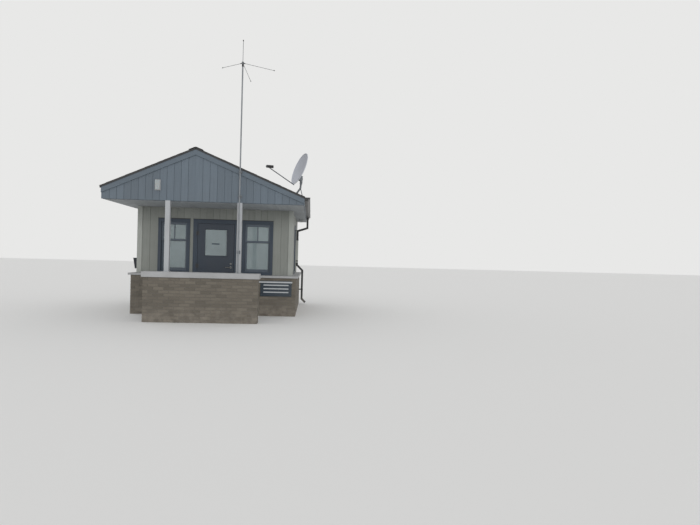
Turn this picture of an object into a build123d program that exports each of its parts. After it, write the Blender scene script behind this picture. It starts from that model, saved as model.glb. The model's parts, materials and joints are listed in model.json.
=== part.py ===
from build123d import *
from math import cos, radians, sin, sqrt
import os

# Security guard booth, in millimetres. X runs along the front, Y to the back, Z up.
# The origin is on the ground under the middle of the walled room; the front looks towards -Y.

# Room and floor
room_width = 3660.0
room_depth = 3660.0
wall_thickness = 120.0
floor_height = 150.0
soffit_height = 2567.0
panel_thickness = 15.0

# Brick base round the room, with its sloping sill
brick_thickness = 120.0
brick_height = 925.0
sill_projection = 50.0
sill_edge = 48.0
sill_fall = 10.0

# Corner boards on the siding
corner_board_width = 90.0
corner_board_thickness = 20.0

# Knee wall and posts that carry the front of the roof
knee_width = 2380.0
knee_thickness = 250.0
knee_height = 945.0
knee_distance = 1430.0
knee_cap_height = 117.0
knee_cap_overhang = 30.0
knee_cap_chamfer = 8.0
post_size = 100.0
post_offset = 753.0
post_setback = 135.0
post_edge = 6.0
post_plate_size = 136.0
post_plate_height = 10.0

# Roof: its height is set over the soffit at the right eave, and the right pitch leads up to the ridge
eave_height = 176.0
ridge_offset = -195.0
left_pitch = 0.448
right_pitch = 0.415
roof_thickness = 35.0
eave_overhang = 297.0
left_eave_lip = 25.0
porch_depth = 1550.0
back_overhang = 300.0
rake_lip = 10.0
ridge_cap_width = 150.0
ridge_cap_thickness = 12.0
fascia_thickness = 20.0
rake_thickness = 30.0
rake_depth = 112.0
gable_thickness = 90.0
truss_thickness = 38.0
truss_chord = 89.0
truss_spacing = 610.0

# Gutter and downspout on the right eave
gutter_width = 120.0
gutter_depth = 78.0
gutter_flat = 72.0
gutter_wall = 3.0
gutter_lip = 12.0
gutter_drop = 12.0
gutter_inset = 10.0
gutter_front_run = 3050.0
gutter_back_run = 1600.0
gutter_outlet_run = 420.0
pipe_width = 60.0
pipe_breadth = 80.0
pipe_wall = 2.5
pipe_position = 1550.0
pipe_stand_off = 10.0
pipe_drop = 303.0
pipe_offset_fall = 0.33
pipe_foot = 60.0
pipe_shoe = 110.0
strap_height = 30.0
strap_thickness = 3.0

# Door, its frame and furniture
door_width = 860.0
door_height = 2030.0
door_thickness = 45.0
door_side_gap = 7.0
door_top_gap = 6.0
door_floor_gap = 12.0
threshold_height = 6.0
casing_width = 104.0
casing_projection = 20.0
jamb_thickness = 30.0
stop_gap = 6.0
stop_width = 16.0
stop_depth = 28.0
door_glass_width = 530.0
door_glass_height = 646.0
door_glass_sill = 1254.0
door_bead_width = 34.0
door_bead_height = 8.0
glass_thickness = 6.0
glass_hold = 10.0
handle_height = 1000.0
handle_backset = 65.0
handle_rose = 27.0
handle_rose_depth = 9.0
handle_bar = 10.0
handle_reach = 48.0
handle_length = 115.0
spindle_radius = 6.0
spindle_clearance = 0.3
hinge_radius = 8.0
hinge_face_gap = 1.0
hinge_pin_radius = 4.0
hinge_knuckle = 33.0
hinge_knuckle_gap = 0.3
hinge_plate_width = 32.0
hinge_plate_thickness = 3.0
hinge_web_thickness = 2.0
hinge_end_distance = 230.0

# Single-hung windows
window_offset = 992.0
window_width = 748.0
window_jamb_face = 70.0
window_head_face = 90.0
window_sill_face = 70.0
window_liner = 20.0
window_recess = 28.0
sash_thickness = 35.0
sash_gap = 0.5
sash_stile = 40.0
sash_top_rail = 53.0
sash_bottom_rail = 55.0
upper_sash_height = 444.0
meeting_rail_width = 34.0
glass_groove = 8.0

# Small fittings on the walls and roof
sign_left = 1100.0
sign_width = 690.0
sign_drop = 70.0
sign_height = 375.0
sign_thickness = 6.0
gable_light_offset = -970.0
gable_light_rise = 323.0
gable_light_width = 105.0
gable_light_height = 210.0
gable_light_depth = 55.0
gable_light_corner = 17.5
gable_light_edge = 8.75
soffit_lamp_distance = 138.0
soffit_lamp_position = 1100.0
soffit_lamp_width = 90.0
soffit_lamp_length = 110.0
soffit_lamp_depth = 70.0
soffit_lamp_corner = 11.25
soffit_lamp_taper = 12.0
wall_box_rise = 87.0
wall_box_length = 400.0
wall_box_height = 250.0
wall_box_depth = 135.0
wall_box_batter = 40.0

# Satellite dish on the right slope
dish_inset = 137.0
dish_setback = 480.0
dish_rise = 620.0
dish_radius = 370.0
dish_sag = 70.0
dish_thickness = 4.0
dish_rim = 5.0
dish_tilt = 19.0
dish_turn = 22.0
dish_focus = 648.0
dish_focus_drop = 241.0
dish_seat_gap = 0.3
receiver_radius = 28.0
receiver_length = 150.0
arm_radius = 11.0

# Bent mast of the dish, its clamp and its strut
dish_mast_radius = 21.0
dish_mast_offset = 30.0
dish_mast_lean = 20.0
dish_mast_drop = 200.0
dish_leg_inset = 215.0
dish_leg_slope = 1.4
dish_bend_radius = 63.0
dish_foot_size = 150.0
dish_foot_corner = 18.0
dish_foot_thickness = 6.0
dish_clamp_wall = 8.0
dish_clamp_height = 139.0
dish_bracket_width = 64.0
dish_bracket_height = 120.0
dish_bracket_corner = 10.0
dish_bracket_drop = 190.0
dish_bracket_depth = 128.0
dish_strut_radius = 9.0
dish_strut_inset = 47.0
dish_strut_rise = 15.0
dish_strut_foot = 60.0

# Antenna mast at the right post
mast_radius = 15.0
mast_length = 4428.0
mast_front = 70.0
post_bracket_rise = 450.0
gable_bracket_rise = 133.0
bracket_radius = 26.0
bracket_height = 36.0
bracket_arm = 26.0
bracket_plate_width = 70.0
bracket_plate_thickness = 6.0
bracket_plate_height = 72.0
bracket_clearance = 0.3

# Antenna: the front radial is missing and the left one is broken short
hub_radius = 24.0
hub_height = 55.0
hub_edge = 6.0
radial_length = 704.0
short_radial_length = 455.0
radial_turn = -8.0
radial_droop = 13.0
radial_radius = 4.0
radial_seat_gap = 0.3
whip_radius = 5.0
whip_length = 465.0

# How far a cutter runs past the piece that it cuts
cut_over = 1.0

# Places worked out from the sizes above
half_width = room_width / 2
half_depth = room_depth / 2
brick_x = half_width + brick_thickness
brick_y = half_depth + brick_thickness
panel_top = soffit_height + panel_thickness
fascia_x = half_width + eave_overhang
ridge_height = soffit_height + eave_height + right_pitch * (fascia_x - ridge_offset)
fascia_back_x = fascia_x - fascia_thickness
roof_front = -half_depth - porch_depth
roof_back = half_depth + back_overhang
rake_front = roof_front + rake_lip
rake_back = roof_back - rake_lip
gable_front = rake_front + rake_thickness
gable_back = rake_back - rake_thickness
roof_drop = roof_thickness * sqrt(1 + right_pitch**2)
door_reveal = door_width / 2 + door_side_gap
door_bottom = floor_height + door_floor_gap
door_top = door_bottom + door_height
frame_head = door_top + door_top_gap
casing_top = frame_head + casing_width
casing_x = door_reveal + casing_width
doorway_x = door_reveal + jamb_thickness
doorway_top = frame_head + jamb_thickness
door_face = -half_depth - casing_projection
hinge_x = -door_reveal
hinge_y = door_face - hinge_radius - hinge_face_gap
knee_front = -half_depth - knee_distance - knee_thickness
knee_back = knee_front + knee_thickness
knee_top = knee_height + knee_cap_height
sill_top = brick_height + sill_edge + sill_fall
post_y = knee_front + post_setback + post_size / 2
mast_x = post_offset
mast_y = knee_front + mast_front
mast_top = knee_top + mast_length
gutter_top = soffit_height + eave_height - gutter_drop
gutter_bottom = gutter_top - gutter_depth

nodes = {}


def keep(name, *shapes):
    """Keeps one named piece, made of one or more solids that don't touch."""
    solids = [solid for shape in shapes for solid in shape.solids()]
    nodes[name] = solids[0] if len(solids) == 1 else Compound(children=solids)


def block(x0, x1, y0, y1, z0, z1):
    """A rectangular block between three pairs of limits."""
    middle = Pos((x0 + x1) / 2, (y0 + y1) / 2, (z0 + z1) / 2)
    return middle * Box(x1 - x0, y1 - y0, z1 - z0)


def along_y(outline, y0, y1):
    """A prism from an outline in X and Z, running from y0 to y1."""
    face = make_face(Polyline(*outline, close=True))
    return extrude(Plane.XZ.offset(-y1) * face, amount=y1 - y0)


def along_x(outline, x0, x1):
    """A prism from an outline in Y and Z, running from x0 to x1."""
    face = make_face(Polyline(*outline, close=True))
    return extrude(Plane.YZ.offset(x0) * face, amount=x1 - x0)


def upright(outline, z0, z1):
    """A prism from an outline in X and Y, standing from z0 to z1."""
    face = make_face(Polyline(*outline, close=True))
    return extrude(Plane.XY.offset(z0) * face, amount=z1 - z0)


def rod(start, end, radius):
    """A round bar from one point to another."""
    way = Vector(*end) - Vector(*start)
    return extrude(Plane(origin=start, z_dir=way) * Circle(radius), amount=way.length)


def pitch_at(x):
    """Pitch of the slope that covers x."""
    return left_pitch if x < ridge_offset else right_pitch


def roof_top(x):
    """Height of the roof surface over x."""
    return ridge_height - pitch_at(x) * abs(x - ridge_offset)


def roof_under(x):
    """Height of the underside of the roof over x."""
    return roof_top(x) - roof_drop


# Floor slab, cast with a tongue that fills the doorway out to the brick face
floor_slab = block(-half_width, half_width, -half_depth, half_depth, 0, floor_height)
floor_slab += block(-casing_x, casing_x, -brick_y, -half_depth, 0, floor_height)
keep("floor_slab", floor_slab)


# Brick base: the side walls butt between the front and the back
keep(
    "brick_base_front",
    block(-brick_x, -casing_x, -brick_y, -half_depth, 0, brick_height),
    block(casing_x, brick_x, -brick_y, -half_depth, 0, brick_height),
)
keep(
    "brick_base_sides",
    block(-brick_x, -half_width, -half_depth, half_depth, 0, brick_height),
    block(half_width, brick_x, -half_depth, half_depth, 0, brick_height),
)
keep("brick_base_back", block(-brick_x, brick_x, half_depth, brick_y, 0, brick_height))


def sill_side(half_length, distance):
    """One side of the sill with mitred corners, built for the front of the room."""
    outer = distance + brick_thickness + sill_projection
    reach = half_length + brick_thickness + sill_projection
    edge_top = brick_height + sill_edge
    section = [(-outer, brick_height), (-distance, brick_height), (-distance, sill_top), (-outer, edge_top)]
    plan = [(-reach, -outer), (reach, -outer), (half_length, -distance), (-half_length, -distance)]
    return along_x(section, -reach, reach) & upright(plan, brick_height, sill_top)


front_sill = sill_side(half_width, half_depth)
front_sill -= block(-casing_x, casing_x, -2 * brick_y, 0, 0, ridge_height)
keep("base_sill_front", front_sill)
side_sill = sill_side(half_depth, half_width)
keep("base_sill_sides", Rot(0, 0, -90) * side_sill, Rot(0, 0, 90) * side_sill)
keep("base_sill_back", Rot(0, 0, 180) * sill_side(half_width, half_depth))


# Windows are built at the middle of a wall whose outer face is Y = 0, looking towards -Y
window_clear = window_width / 2 - window_jamb_face
window_clear_top = casing_top - window_head_face
window_clear_bottom = sill_top + window_sill_face


def window_hole():
    """The opening cut through a wall for one window."""
    side = window_clear + window_liner
    bottom = window_clear_bottom - window_liner
    top = window_clear_top + window_liner
    return block(-side, side, -casing_projection, wall_thickness, bottom, top)


def window_casing():
    """Outer trim with the liner that runs through the wall."""
    trim = block(-window_width / 2, window_width / 2, -casing_projection, 0, sill_top, casing_top)
    liner = window_hole() & block(-window_width, window_width, 0, wall_thickness, 0, ridge_height)
    clear = block(
        -window_clear,
        window_clear,
        -2 * casing_projection,
        2 * wall_thickness,
        window_clear_bottom,
        window_clear_top,
    )
    return trim + liner - clear


def sash_parts(face, bottom, top, bottom_rail, top_rail):
    """A sash whose front is at Y = face, and the pane that sits in its groove."""
    frame = block(-window_clear, window_clear, face, face + sash_thickness, bottom, top)
    side = window_clear - sash_stile
    sight = block(
        -side,
        side,
        face - cut_over,
        face + sash_thickness + cut_over,
        bottom + bottom_rail,
        top - top_rail,
    )
    middle = face + sash_thickness / 2
    pane = block(
        -side - glass_groove,
        side + glass_groove,
        middle - glass_thickness / 2,
        middle + glass_thickness / 2,
        bottom + bottom_rail - glass_groove,
        top - top_rail + glass_groove,
    )
    return frame - sight - pane, pane


meeting_bottom = window_clear_top - upper_sash_height
upper_sash, upper_pane = sash_parts(
    window_recess,
    meeting_bottom,
    window_clear_top,
    meeting_rail_width,
    sash_top_rail,
)
lower_sash, lower_pane = sash_parts(
    window_recess + sash_thickness + sash_gap,
    window_clear_bottom,
    meeting_bottom + meeting_rail_width,
    sash_bottom_rail,
    meeting_rail_width,
)
casing = window_casing()
front_places = [Pos(side * window_offset, -half_depth, 0) for side in (-1, 1)]
other_places = [
    Pos(-half_width, 0, 0) * Rot(0, 0, -90),
    Pos(half_width, 0, 0) * Rot(0, 0, 90),
    Pos(0, half_depth, 0) * Rot(0, 0, 180),
]
for wall, places in (("front", front_places), ("side_and_back", other_places)):
    keep(wall + "_window_casings", *[place * casing for place in places])
    keep(wall + "_window_sashes", *[place * sash for place in places for sash in (upper_sash, lower_sash)])
    keep(wall + "_window_glass", *[place * pane for place in places for pane in (upper_pane, lower_pane)])


# Walls stand on the slab; the front one is split beside and over the doorway
inner_x = half_width - wall_thickness
inner_y = half_depth - wall_thickness
left_hole, right_hole, back_hole = [place * window_hole() for place in other_places]
for side, name in ((-1, "left"), (1, "right")):
    edges = sorted((side * doorway_x, side * half_width))
    wall = block(*edges, -half_depth, -inner_y, floor_height, panel_top)
    keep("front_wall_" + name, wall - Pos(side * window_offset, -half_depth, 0) * window_hole())
keep(
    "front_wall_over_door",
    block(-doorway_x, doorway_x, -half_depth, -inner_y, doorway_top, panel_top),
)
keep("left_wall", block(-half_width, -inner_x, -inner_y, inner_y, floor_height, panel_top) - left_hole)
keep("right_wall", block(inner_x, half_width, -inner_y, inner_y, floor_height, panel_top) - right_hole)
keep("back_wall", block(-half_width, half_width, inner_y, half_depth, floor_height, panel_top) - back_hole)


# Corner boards: four angles that cover the siding's corners between the sill and the soffit
corner_outer = [half_width + corner_board_thickness, half_depth + corner_board_thickness]
corner_inner = [half_width - corner_board_width, half_depth - corner_board_width]
boards = []
for sx in (-1, 1):
    for sy in (-1, 1):
        plan = [
            (sx * corner_outer[0], sy * corner_outer[1]),
            (sx * corner_inner[0], sy * corner_outer[1]),
            (sx * corner_inner[0], sy * half_depth),
            (sx * half_width, sy * half_depth),
            (sx * half_width, sy * corner_inner[1]),
            (sx * corner_outer[0], sy * corner_inner[1]),
        ]
        boards.append(upright(plan, sill_top, soffit_height))
keep("corner_boards", *boards)


# Ceiling and level soffits, all at one height
keep("ceiling_panel", block(-inner_x, inner_x, -inner_y, inner_y, soffit_height, panel_top))
gable_inner_front = gable_front + gable_thickness
gable_inner_back = gable_back - gable_thickness
keep(
    "gable_soffits",
    block(-fascia_back_x, fascia_back_x, gable_inner_front, -half_depth, soffit_height, panel_top),
    block(-fascia_back_x, fascia_back_x, half_depth, gable_inner_back, soffit_height, panel_top),
)
keep(
    "eave_soffits",
    block(-fascia_back_x, -half_width, -half_depth, half_depth, soffit_height, panel_top),
    block(half_width, fascia_back_x, -half_depth, half_depth, soffit_height, panel_top),
)


# Closed gables, framed like a wall
gable_outline = [
    (-fascia_back_x, soffit_height),
    (fascia_back_x, soffit_height),
    (fascia_back_x, roof_under(fascia_back_x)),
    (ridge_offset, ridge_height - roof_drop),
    (-fascia_back_x, roof_under(-fascia_back_x)),
]
keep("front_gable", along_y(gable_outline, gable_front, gable_inner_front))
keep("back_gable", along_y(gable_outline, gable_inner_back, gable_back))


# Trusses inside the roof: bottom chord, two rafters and a king post in one plane
chord_top = panel_top + truss_chord
truss_outline = [(-fascia_back_x, panel_top), (fascia_back_x, panel_top)] + gable_outline[2:]
truss_face = make_face(Polyline(*truss_outline, close=True))
for side in (-1, 1):
    post_face = ridge_offset + side * truss_chord / 2
    pitch = pitch_at(post_face)
    rafter_under = roof_under(post_face) - truss_chord * sqrt(1 + pitch**2)
    toe = post_face + side * (rafter_under - chord_top) / pitch
    truss_face -= make_face(
        Polyline((post_face, chord_top), (toe, chord_top), (post_face, rafter_under), close=True)
    )
truss_run = gable_inner_back - gable_inner_front
truss_bays = max(2, round(truss_run / truss_spacing))
truss_places = [gable_inner_front + truss_run * bay / truss_bays for bay in range(1, truss_bays)]
keep(
    "roof_trusses",
    *[extrude(Plane.XZ.offset(-y) * truss_face, amount=truss_thickness / 2, both=True) for y in truss_places],
)


# Roof slopes, ridge cap, and the boards that close their edges
for edge, name in ((-fascia_x - left_eave_lip, "left"), (fascia_x, "right")):
    slope = [
        (edge, roof_top(edge)),
        (ridge_offset, ridge_height),
        (ridge_offset, ridge_height - roof_drop),
        (edge, roof_under(edge)),
    ]
    keep("roof_" + name, along_y(slope, roof_front, roof_back))
cap_left = ridge_offset - ridge_cap_width
cap_right = ridge_offset + ridge_cap_width
ridge_cap = [
    (cap_left, roof_top(cap_left)),
    (ridge_offset, ridge_height),
    (cap_right, roof_top(cap_right)),
    (cap_right, roof_top(cap_right) + ridge_cap_thickness),
    (ridge_offset, ridge_height + ridge_cap_thickness),
    (cap_left, roof_top(cap_left) + ridge_cap_thickness),
]
keep("ridge_cap", along_y(ridge_cap, roof_front, roof_back))


def rake_board(y0, y1):
    """Board under the roof's edge on a gable, cut off level where it reaches the soffit."""
    board = [
        (-fascia_x, roof_under(-fascia_x)),
        (ridge_offset, ridge_height - roof_drop),
        (fascia_x, roof_under(fascia_x)),
        (fascia_x, roof_under(fascia_x) - rake_depth),
        (ridge_offset, ridge_height - roof_drop - rake_depth),
        (-fascia_x, roof_under(-fascia_x) - rake_depth),
    ]
    return along_y(board, y0, y1) & block(-fascia_x, fascia_x, y0, y1, soffit_height, ridge_height)


keep("rake_boards", rake_board(rake_front, gable_front), rake_board(gable_back, rake_back))
fascias = []
for side in (-1, 1):
    outer = side * fascia_x
    inner = side * fascia_back_x
    board = [(outer, soffit_height), (inner, soffit_height)]
    board += [(inner, roof_under(inner)), (outer, roof_under(outer))]
    fascias.append(along_y(board, gable_front, gable_back))
keep("eave_fascias", *fascias)


# Gutter: a trough with a bowed front, a rolled lip, end plates and an outlet, in four lengths
gutter_line = Polyline((0, 0), (0, -gutter_depth), (gutter_flat, -gutter_depth))
gutter_bow = SagittaArc((gutter_flat, -gutter_depth), (gutter_width, -gutter_lip), gutter_lip)
gutter_close = Polyline((gutter_width, -gutter_lip), (gutter_width, 0), (0, 0))
gutter_face = make_face([gutter_line, gutter_bow, gutter_close])
gutter_inside = offset(gutter_face, amount=-gutter_wall)
gutter_mouth_width = gutter_width - gutter_wall - gutter_lip
gutter_mouth = Pos(gutter_wall + gutter_mouth_width / 2, -gutter_lip / 2) * Rectangle(
    gutter_mouth_width, gutter_lip
)
gutter_front = roof_front + gutter_inset
gutter_back = roof_back - gutter_inset
gutter_plane = Plane.XZ.offset(-gutter_back) * Pos(fascia_x, gutter_top)
trough_length = gutter_back - gutter_front - 2 * gutter_wall
gutter = extrude(gutter_plane * gutter_face, amount=gutter_back - gutter_front)
trough = extrude(gutter_plane * (gutter_inside + gutter_mouth), amount=trough_length)
gutter -= Pos(0, -gutter_wall, 0) * trough
pipe_top_x = fascia_x + gutter_flat / 2 + gutter_wall
outlet_x = pipe_width / 2 - pipe_wall
outlet_y = pipe_breadth / 2 - pipe_wall
gutter -= block(
    pipe_top_x - outlet_x,
    pipe_top_x + outlet_x,
    pipe_position - outlet_y,
    pipe_position + outlet_y,
    gutter_bottom - cut_over,
    gutter_bottom + gutter_wall + cut_over,
)
front_seam = gutter_front + gutter_front_run
outlet_seam = front_seam + gutter_back_run
end_seam = outlet_seam + gutter_outlet_run
gutter_x = fascia_x + gutter_width
for name, y0, y1 in (
    ("gutter_front_length", gutter_front, front_seam),
    ("gutter_back_length", front_seam, outlet_seam),
    ("gutter_outlet_length", outlet_seam, end_seam),
    ("gutter_end_length", end_seam, gutter_back),
):
    keep(name, gutter & block(fascia_x, gutter_x, y0, y1, gutter_bottom, gutter_top))


# Downspout: from the gutter in to the siding, out round the sill, down to a shoe
pipe_siding_x = half_width + pipe_stand_off + pipe_width / 2
pipe_brick_x = brick_x + sill_projection + pipe_stand_off + pipe_width / 2
pipe_step = pipe_brick_x - pipe_siding_x
pipe_reach = pipe_top_x - pipe_siding_x
pipe_lower_bend = sill_top + pipe_width
pipe_upper_bend = gutter_bottom - pipe_drop
pipe_siding_bend = pipe_upper_bend - pipe_offset_fall * pipe_reach
pipe_way = Polyline(
    (pipe_top_x, pipe_position, gutter_bottom),
    (pipe_top_x, pipe_position, pipe_upper_bend),
    (pipe_siding_x, pipe_position, pipe_siding_bend),
    (pipe_siding_x, pipe_position, pipe_lower_bend + pipe_step),
    (pipe_brick_x, pipe_position, pipe_lower_bend),
    (pipe_brick_x, pipe_position, pipe_foot + pipe_shoe),
    (pipe_brick_x + pipe_shoe, pipe_position, pipe_foot),
)
pipe_plane = Plane(origin=(pipe_top_x, pipe_position, gutter_bottom), x_dir=(1, 0, 0), z_dir=(0, 0, -1))
pipe_section = pipe_plane * Rectangle(pipe_width, pipe_breadth)
pipe_bore = pipe_plane * Rectangle(pipe_width - 2 * pipe_wall, pipe_breadth - 2 * pipe_wall)
downspout = sweep(pipe_section, path=pipe_way, transition=Transition.RIGHT)
downspout -= sweep(pipe_bore, path=pipe_way, transition=Transition.RIGHT)
keep("downspout", downspout)


def strap(wall_x, pipe_x, height):
    """A band round the pipe, with ears that lie on the wall."""
    half = pipe_breadth / 2
    outer_x = pipe_x + pipe_width / 2 + strap_thickness
    low = height - strap_height / 2
    high = height + strap_height / 2
    y0 = pipe_position - half
    y1 = pipe_position + half
    band = block(wall_x, outer_x, y0 - strap_thickness, y1 + strap_thickness, low, high)
    band -= block(
        wall_x - cut_over,
        outer_x - strap_thickness,
        y0,
        y1,
        low - cut_over,
        high + cut_over,
    )
    ear = 2 * pipe_stand_off + strap_thickness
    band += block(wall_x, wall_x + strap_thickness, y0 - ear, y0, low, high)
    band += block(wall_x, wall_x + strap_thickness, y1, y1 + ear, low, high)
    return band


upper_straight = pipe_siding_bend - 2 * pipe_width
lower_straight = pipe_lower_bend + pipe_step + 2 * pipe_width
keep(
    "downspout_straps",
    strap(half_width, pipe_siding_x, upper_straight),
    strap(half_width, pipe_siding_x, lower_straight),
    strap(brick_x, pipe_brick_x, brick_height / 2),
)


# Knee wall under the front gable, its cap, and the two posts
keep("knee_wall", block(-knee_width / 2, knee_width / 2, knee_front, knee_back, 0, knee_height))
knee_cap = block(
    -knee_width / 2 - knee_cap_overhang,
    knee_width / 2 + knee_cap_overhang,
    knee_front - knee_cap_overhang,
    knee_back + knee_cap_overhang,
    knee_height,
    knee_top,
)
keep("knee_wall_cap", chamfer(knee_cap.edges(), knee_cap_chamfer))
post_top = soffit_height - knee_top - post_plate_height
post_shaft = extrude(RectangleRounded(post_size, post_size, post_edge), amount=post_top)
post_plate = extrude(RectangleRounded(post_plate_size, post_plate_size, post_edge), amount=post_plate_height)
post = Pos(0, 0, knee_top) * (post_plate + Pos(0, 0, post_plate_height) * post_shaft)
keep("porch_posts", *[Pos(side * post_offset, post_y, 0) * post for side in (-1, 1)])


# Door frame: outer casing, jambs through the wall, and the stops the leaf shuts against
frame_back = -inner_y
stop_face = door_face + door_thickness + stop_gap
door_frame = block(-casing_x, casing_x, door_face, -half_depth, floor_height, casing_top)
door_frame += block(-doorway_x, doorway_x, -half_depth, frame_back, floor_height, doorway_top)
door_frame -= block(-door_reveal, door_reveal, 2 * door_face, 0, 0, frame_head)
stop = block(-door_reveal, door_reveal, stop_face, stop_face + stop_depth, floor_height, frame_head)
stop_x = door_reveal - stop_width
stop -= block(-stop_x, stop_x, 2 * door_face, 0, 0, frame_head - stop_width)
door_frame += stop
keep("door_frame", door_frame)
keep(
    "door_threshold",
    block(-door_reveal, door_reveal, door_face, stop_face, floor_height, floor_height + threshold_height),
)


# Door leaf with its upper light, the beads round the glass, and the pane
light_bottom = door_bottom + door_glass_sill
light_top = light_bottom + door_glass_height
light_x = door_glass_width / 2
leaf_back = door_face + door_thickness
leaf = block(-door_width / 2, door_width / 2, door_face, leaf_back, door_bottom, door_top)
leaf += block(
    -light_x - door_bead_width,
    light_x + door_bead_width,
    door_face - door_bead_height,
    leaf_back + door_bead_height / 2,
    light_bottom - door_bead_width,
    light_top + door_bead_width,
)
leaf -= block(-light_x, light_x, 2 * door_face, 0, light_bottom, light_top)
leaf_middle = door_face + door_thickness / 2
door_pane = block(
    -light_x - glass_hold,
    light_x + glass_hold,
    leaf_middle - glass_thickness / 2,
    leaf_middle + glass_thickness / 2,
    light_bottom - glass_hold,
    light_top + glass_hold,
)
handle_x = door_width / 2 - handle_backset
handle_z = floor_height + handle_height
spindle_hole = rod(
    (handle_x, door_face - cut_over, handle_z),
    (handle_x, leaf_back + cut_over, handle_z),
    spindle_radius + spindle_clearance,
)
keep("door_leaf", leaf - door_pane - spindle_hole)
keep("door_glass", door_pane)


# Lever handles on one spindle
handle = rod((handle_x, door_face, handle_z), (handle_x, leaf_back, handle_z), spindle_radius)
for face, way in ((door_face, -1), (leaf_back, 1)):
    rose_end = face + way * handle_rose_depth
    grip = face + way * handle_reach
    handle += rod((handle_x, face, handle_z), (handle_x, rose_end, handle_z), handle_rose)
    handle += rod((handle_x, face, handle_z), (handle_x, grip, handle_z), handle_bar)
    handle += Pos(handle_x, grip, handle_z) * Sphere(handle_bar)
    handle += rod((handle_x, grip, handle_z), (handle_x - handle_length, grip, handle_z), handle_bar)
    handle += Pos(handle_x - handle_length, grip, handle_z) * Sphere(handle_bar)
keep("door_handles", handle)


# Three butt hinges: outer knuckles and pin on the frame, middle knuckle on the leaf
frame_halves = []
leaf_halves = []
hinge_middles = [
    door_bottom + hinge_end_distance,
    (door_bottom + door_top) / 2,
    door_top - hinge_end_distance,
]
hinge_length = 3 * hinge_knuckle
plate_back = door_face
plate_front = door_face - hinge_plate_thickness
for middle in hinge_middles:
    low = middle - hinge_length / 2
    high = middle + hinge_length / 2
    inner_low = middle - hinge_knuckle / 2
    inner_high = middle + hinge_knuckle / 2
    frame_half = rod((hinge_x, hinge_y, low), (hinge_x, hinge_y, high), hinge_radius)
    frame_half += block(hinge_x - hinge_plate_width, hinge_x, plate_front, plate_back, low, high)
    window = Pos(hinge_x, hinge_y, middle) * Cylinder(
        hinge_radius + hinge_knuckle_gap, hinge_knuckle + 2 * hinge_knuckle_gap
    )
    frame_half -= window
    frame_half += rod((hinge_x, hinge_y, low), (hinge_x, hinge_y, high), hinge_pin_radius)
    frame_halves.append(frame_half)
    leaf_half = rod((hinge_x, hinge_y, inner_low), (hinge_x, hinge_y, inner_high), hinge_radius)
    plate_start = -door_width / 2
    leaf_half += block(plate_start, plate_start + hinge_plate_width, plate_front, plate_back, low, high)
    web_back = plate_front + hinge_web_thickness
    leaf_half += block(hinge_x, plate_start, plate_front, web_back, inner_low, inner_high)
    leaf_half -= rod(
        (hinge_x, hinge_y, inner_low), (hinge_x, hinge_y, inner_high), hinge_pin_radius + hinge_knuckle_gap
    )
    leaf_halves.append(leaf_half)
keep("hinge_frame_halves", *frame_halves)
keep("hinge_door_halves", *leaf_halves)


# Sign plate on the brick, lamps, and the box on the left wall
sign_top = brick_height - sign_drop
keep(
    "sign_plate",
    block(
        sign_left,
        sign_left + sign_width,
        -brick_y - sign_thickness,
        -brick_y,
        sign_top - sign_height,
        sign_top,
    ),
)
light_outline = RectangleRounded(gable_light_width, gable_light_height, gable_light_corner)
gable_light = extrude(light_outline, amount=gable_light_depth)
gable_light = chamfer(gable_light.faces().sort_by(Axis.Z)[-1].edges(), gable_light_edge)
light_place = (gable_light_offset, gable_front, soffit_height + gable_light_rise)
keep("gable_light", Plane(origin=light_place, x_dir=(1, 0, 0), z_dir=(0, -1, 0)) * gable_light)
lamp_outline = RectangleRounded(soffit_lamp_width, soffit_lamp_length, soffit_lamp_corner)
soffit_lamp = extrude(lamp_outline, amount=soffit_lamp_depth, taper=soffit_lamp_taper)
lamp_place = (half_width + soffit_lamp_distance, soffit_lamp_position, soffit_height)
keep("soffit_lamp", Plane(origin=lamp_place, x_dir=(1, 0, 0), z_dir=(0, 0, -1)) * soffit_lamp)
box_outer = -half_width - wall_box_depth
box_bottom = sill_top + wall_box_rise
box_top = box_bottom + wall_box_height
box_outline = [
    (-half_width, box_bottom),
    (-half_width, box_top),
    (box_outer, box_top),
    (box_outer + wall_box_batter, box_bottom),
]
wall_box_front = -half_depth + corner_board_width
keep("wall_box", along_y(box_outline, wall_box_front, wall_box_front + wall_box_length))


# Satellite dish: a shallow bowl that looks left, tilted up and turned a little to the front
dish_x = fascia_x - dish_inset
dish_centre = Vector(dish_x, roof_front + dish_setback, roof_top(dish_x) + dish_rise)
level = cos(radians(dish_tilt))
look = Vector(
    -level * cos(radians(dish_turn)),
    -level * sin(radians(dish_turn)),
    sin(radians(dish_tilt)),
)
across = Vector(0, 0, 1).cross(look).normalized()
rise = look.cross(across).normalized()
dish_plane = Plane(origin=dish_centre, x_dir=across, z_dir=look)
bowl_radius = (dish_radius**2 + dish_sag**2) / (2 * dish_sag)
bowl_centre = Vector(0, 0, bowl_radius - dish_sag)
outer_ball = Pos(bowl_centre) * Sphere(bowl_radius + dish_thickness)
inner_ball = Pos(bowl_centre) * Sphere(bowl_radius)
bowl_slice = Pos(0, 0, -dish_sag - dish_thickness) * Cylinder(
    dish_radius, dish_sag + dish_thickness, align=(Align.CENTER, Align.CENTER, Align.MIN)
)
bowl = (outer_ball & bowl_slice) - inner_ball
bowl += Torus(dish_radius, dish_rim)
keep("dish_reflector", dish_plane * bowl)


# Bent mast of the dish: two feet, a leg, a strut, a clamp and a bracket behind the bowl
def roof_foot(x, y, size):
    """A square plate that lies on the right slope."""
    place = Plane(origin=(x, y, roof_top(x)), x_dir=(1, 0, -right_pitch), z_dir=(right_pitch, 0, 1))
    corner = dish_foot_corner * size / dish_foot_size
    return extrude(place * RectangleRounded(size, size, corner), amount=dish_foot_thickness)


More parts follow.
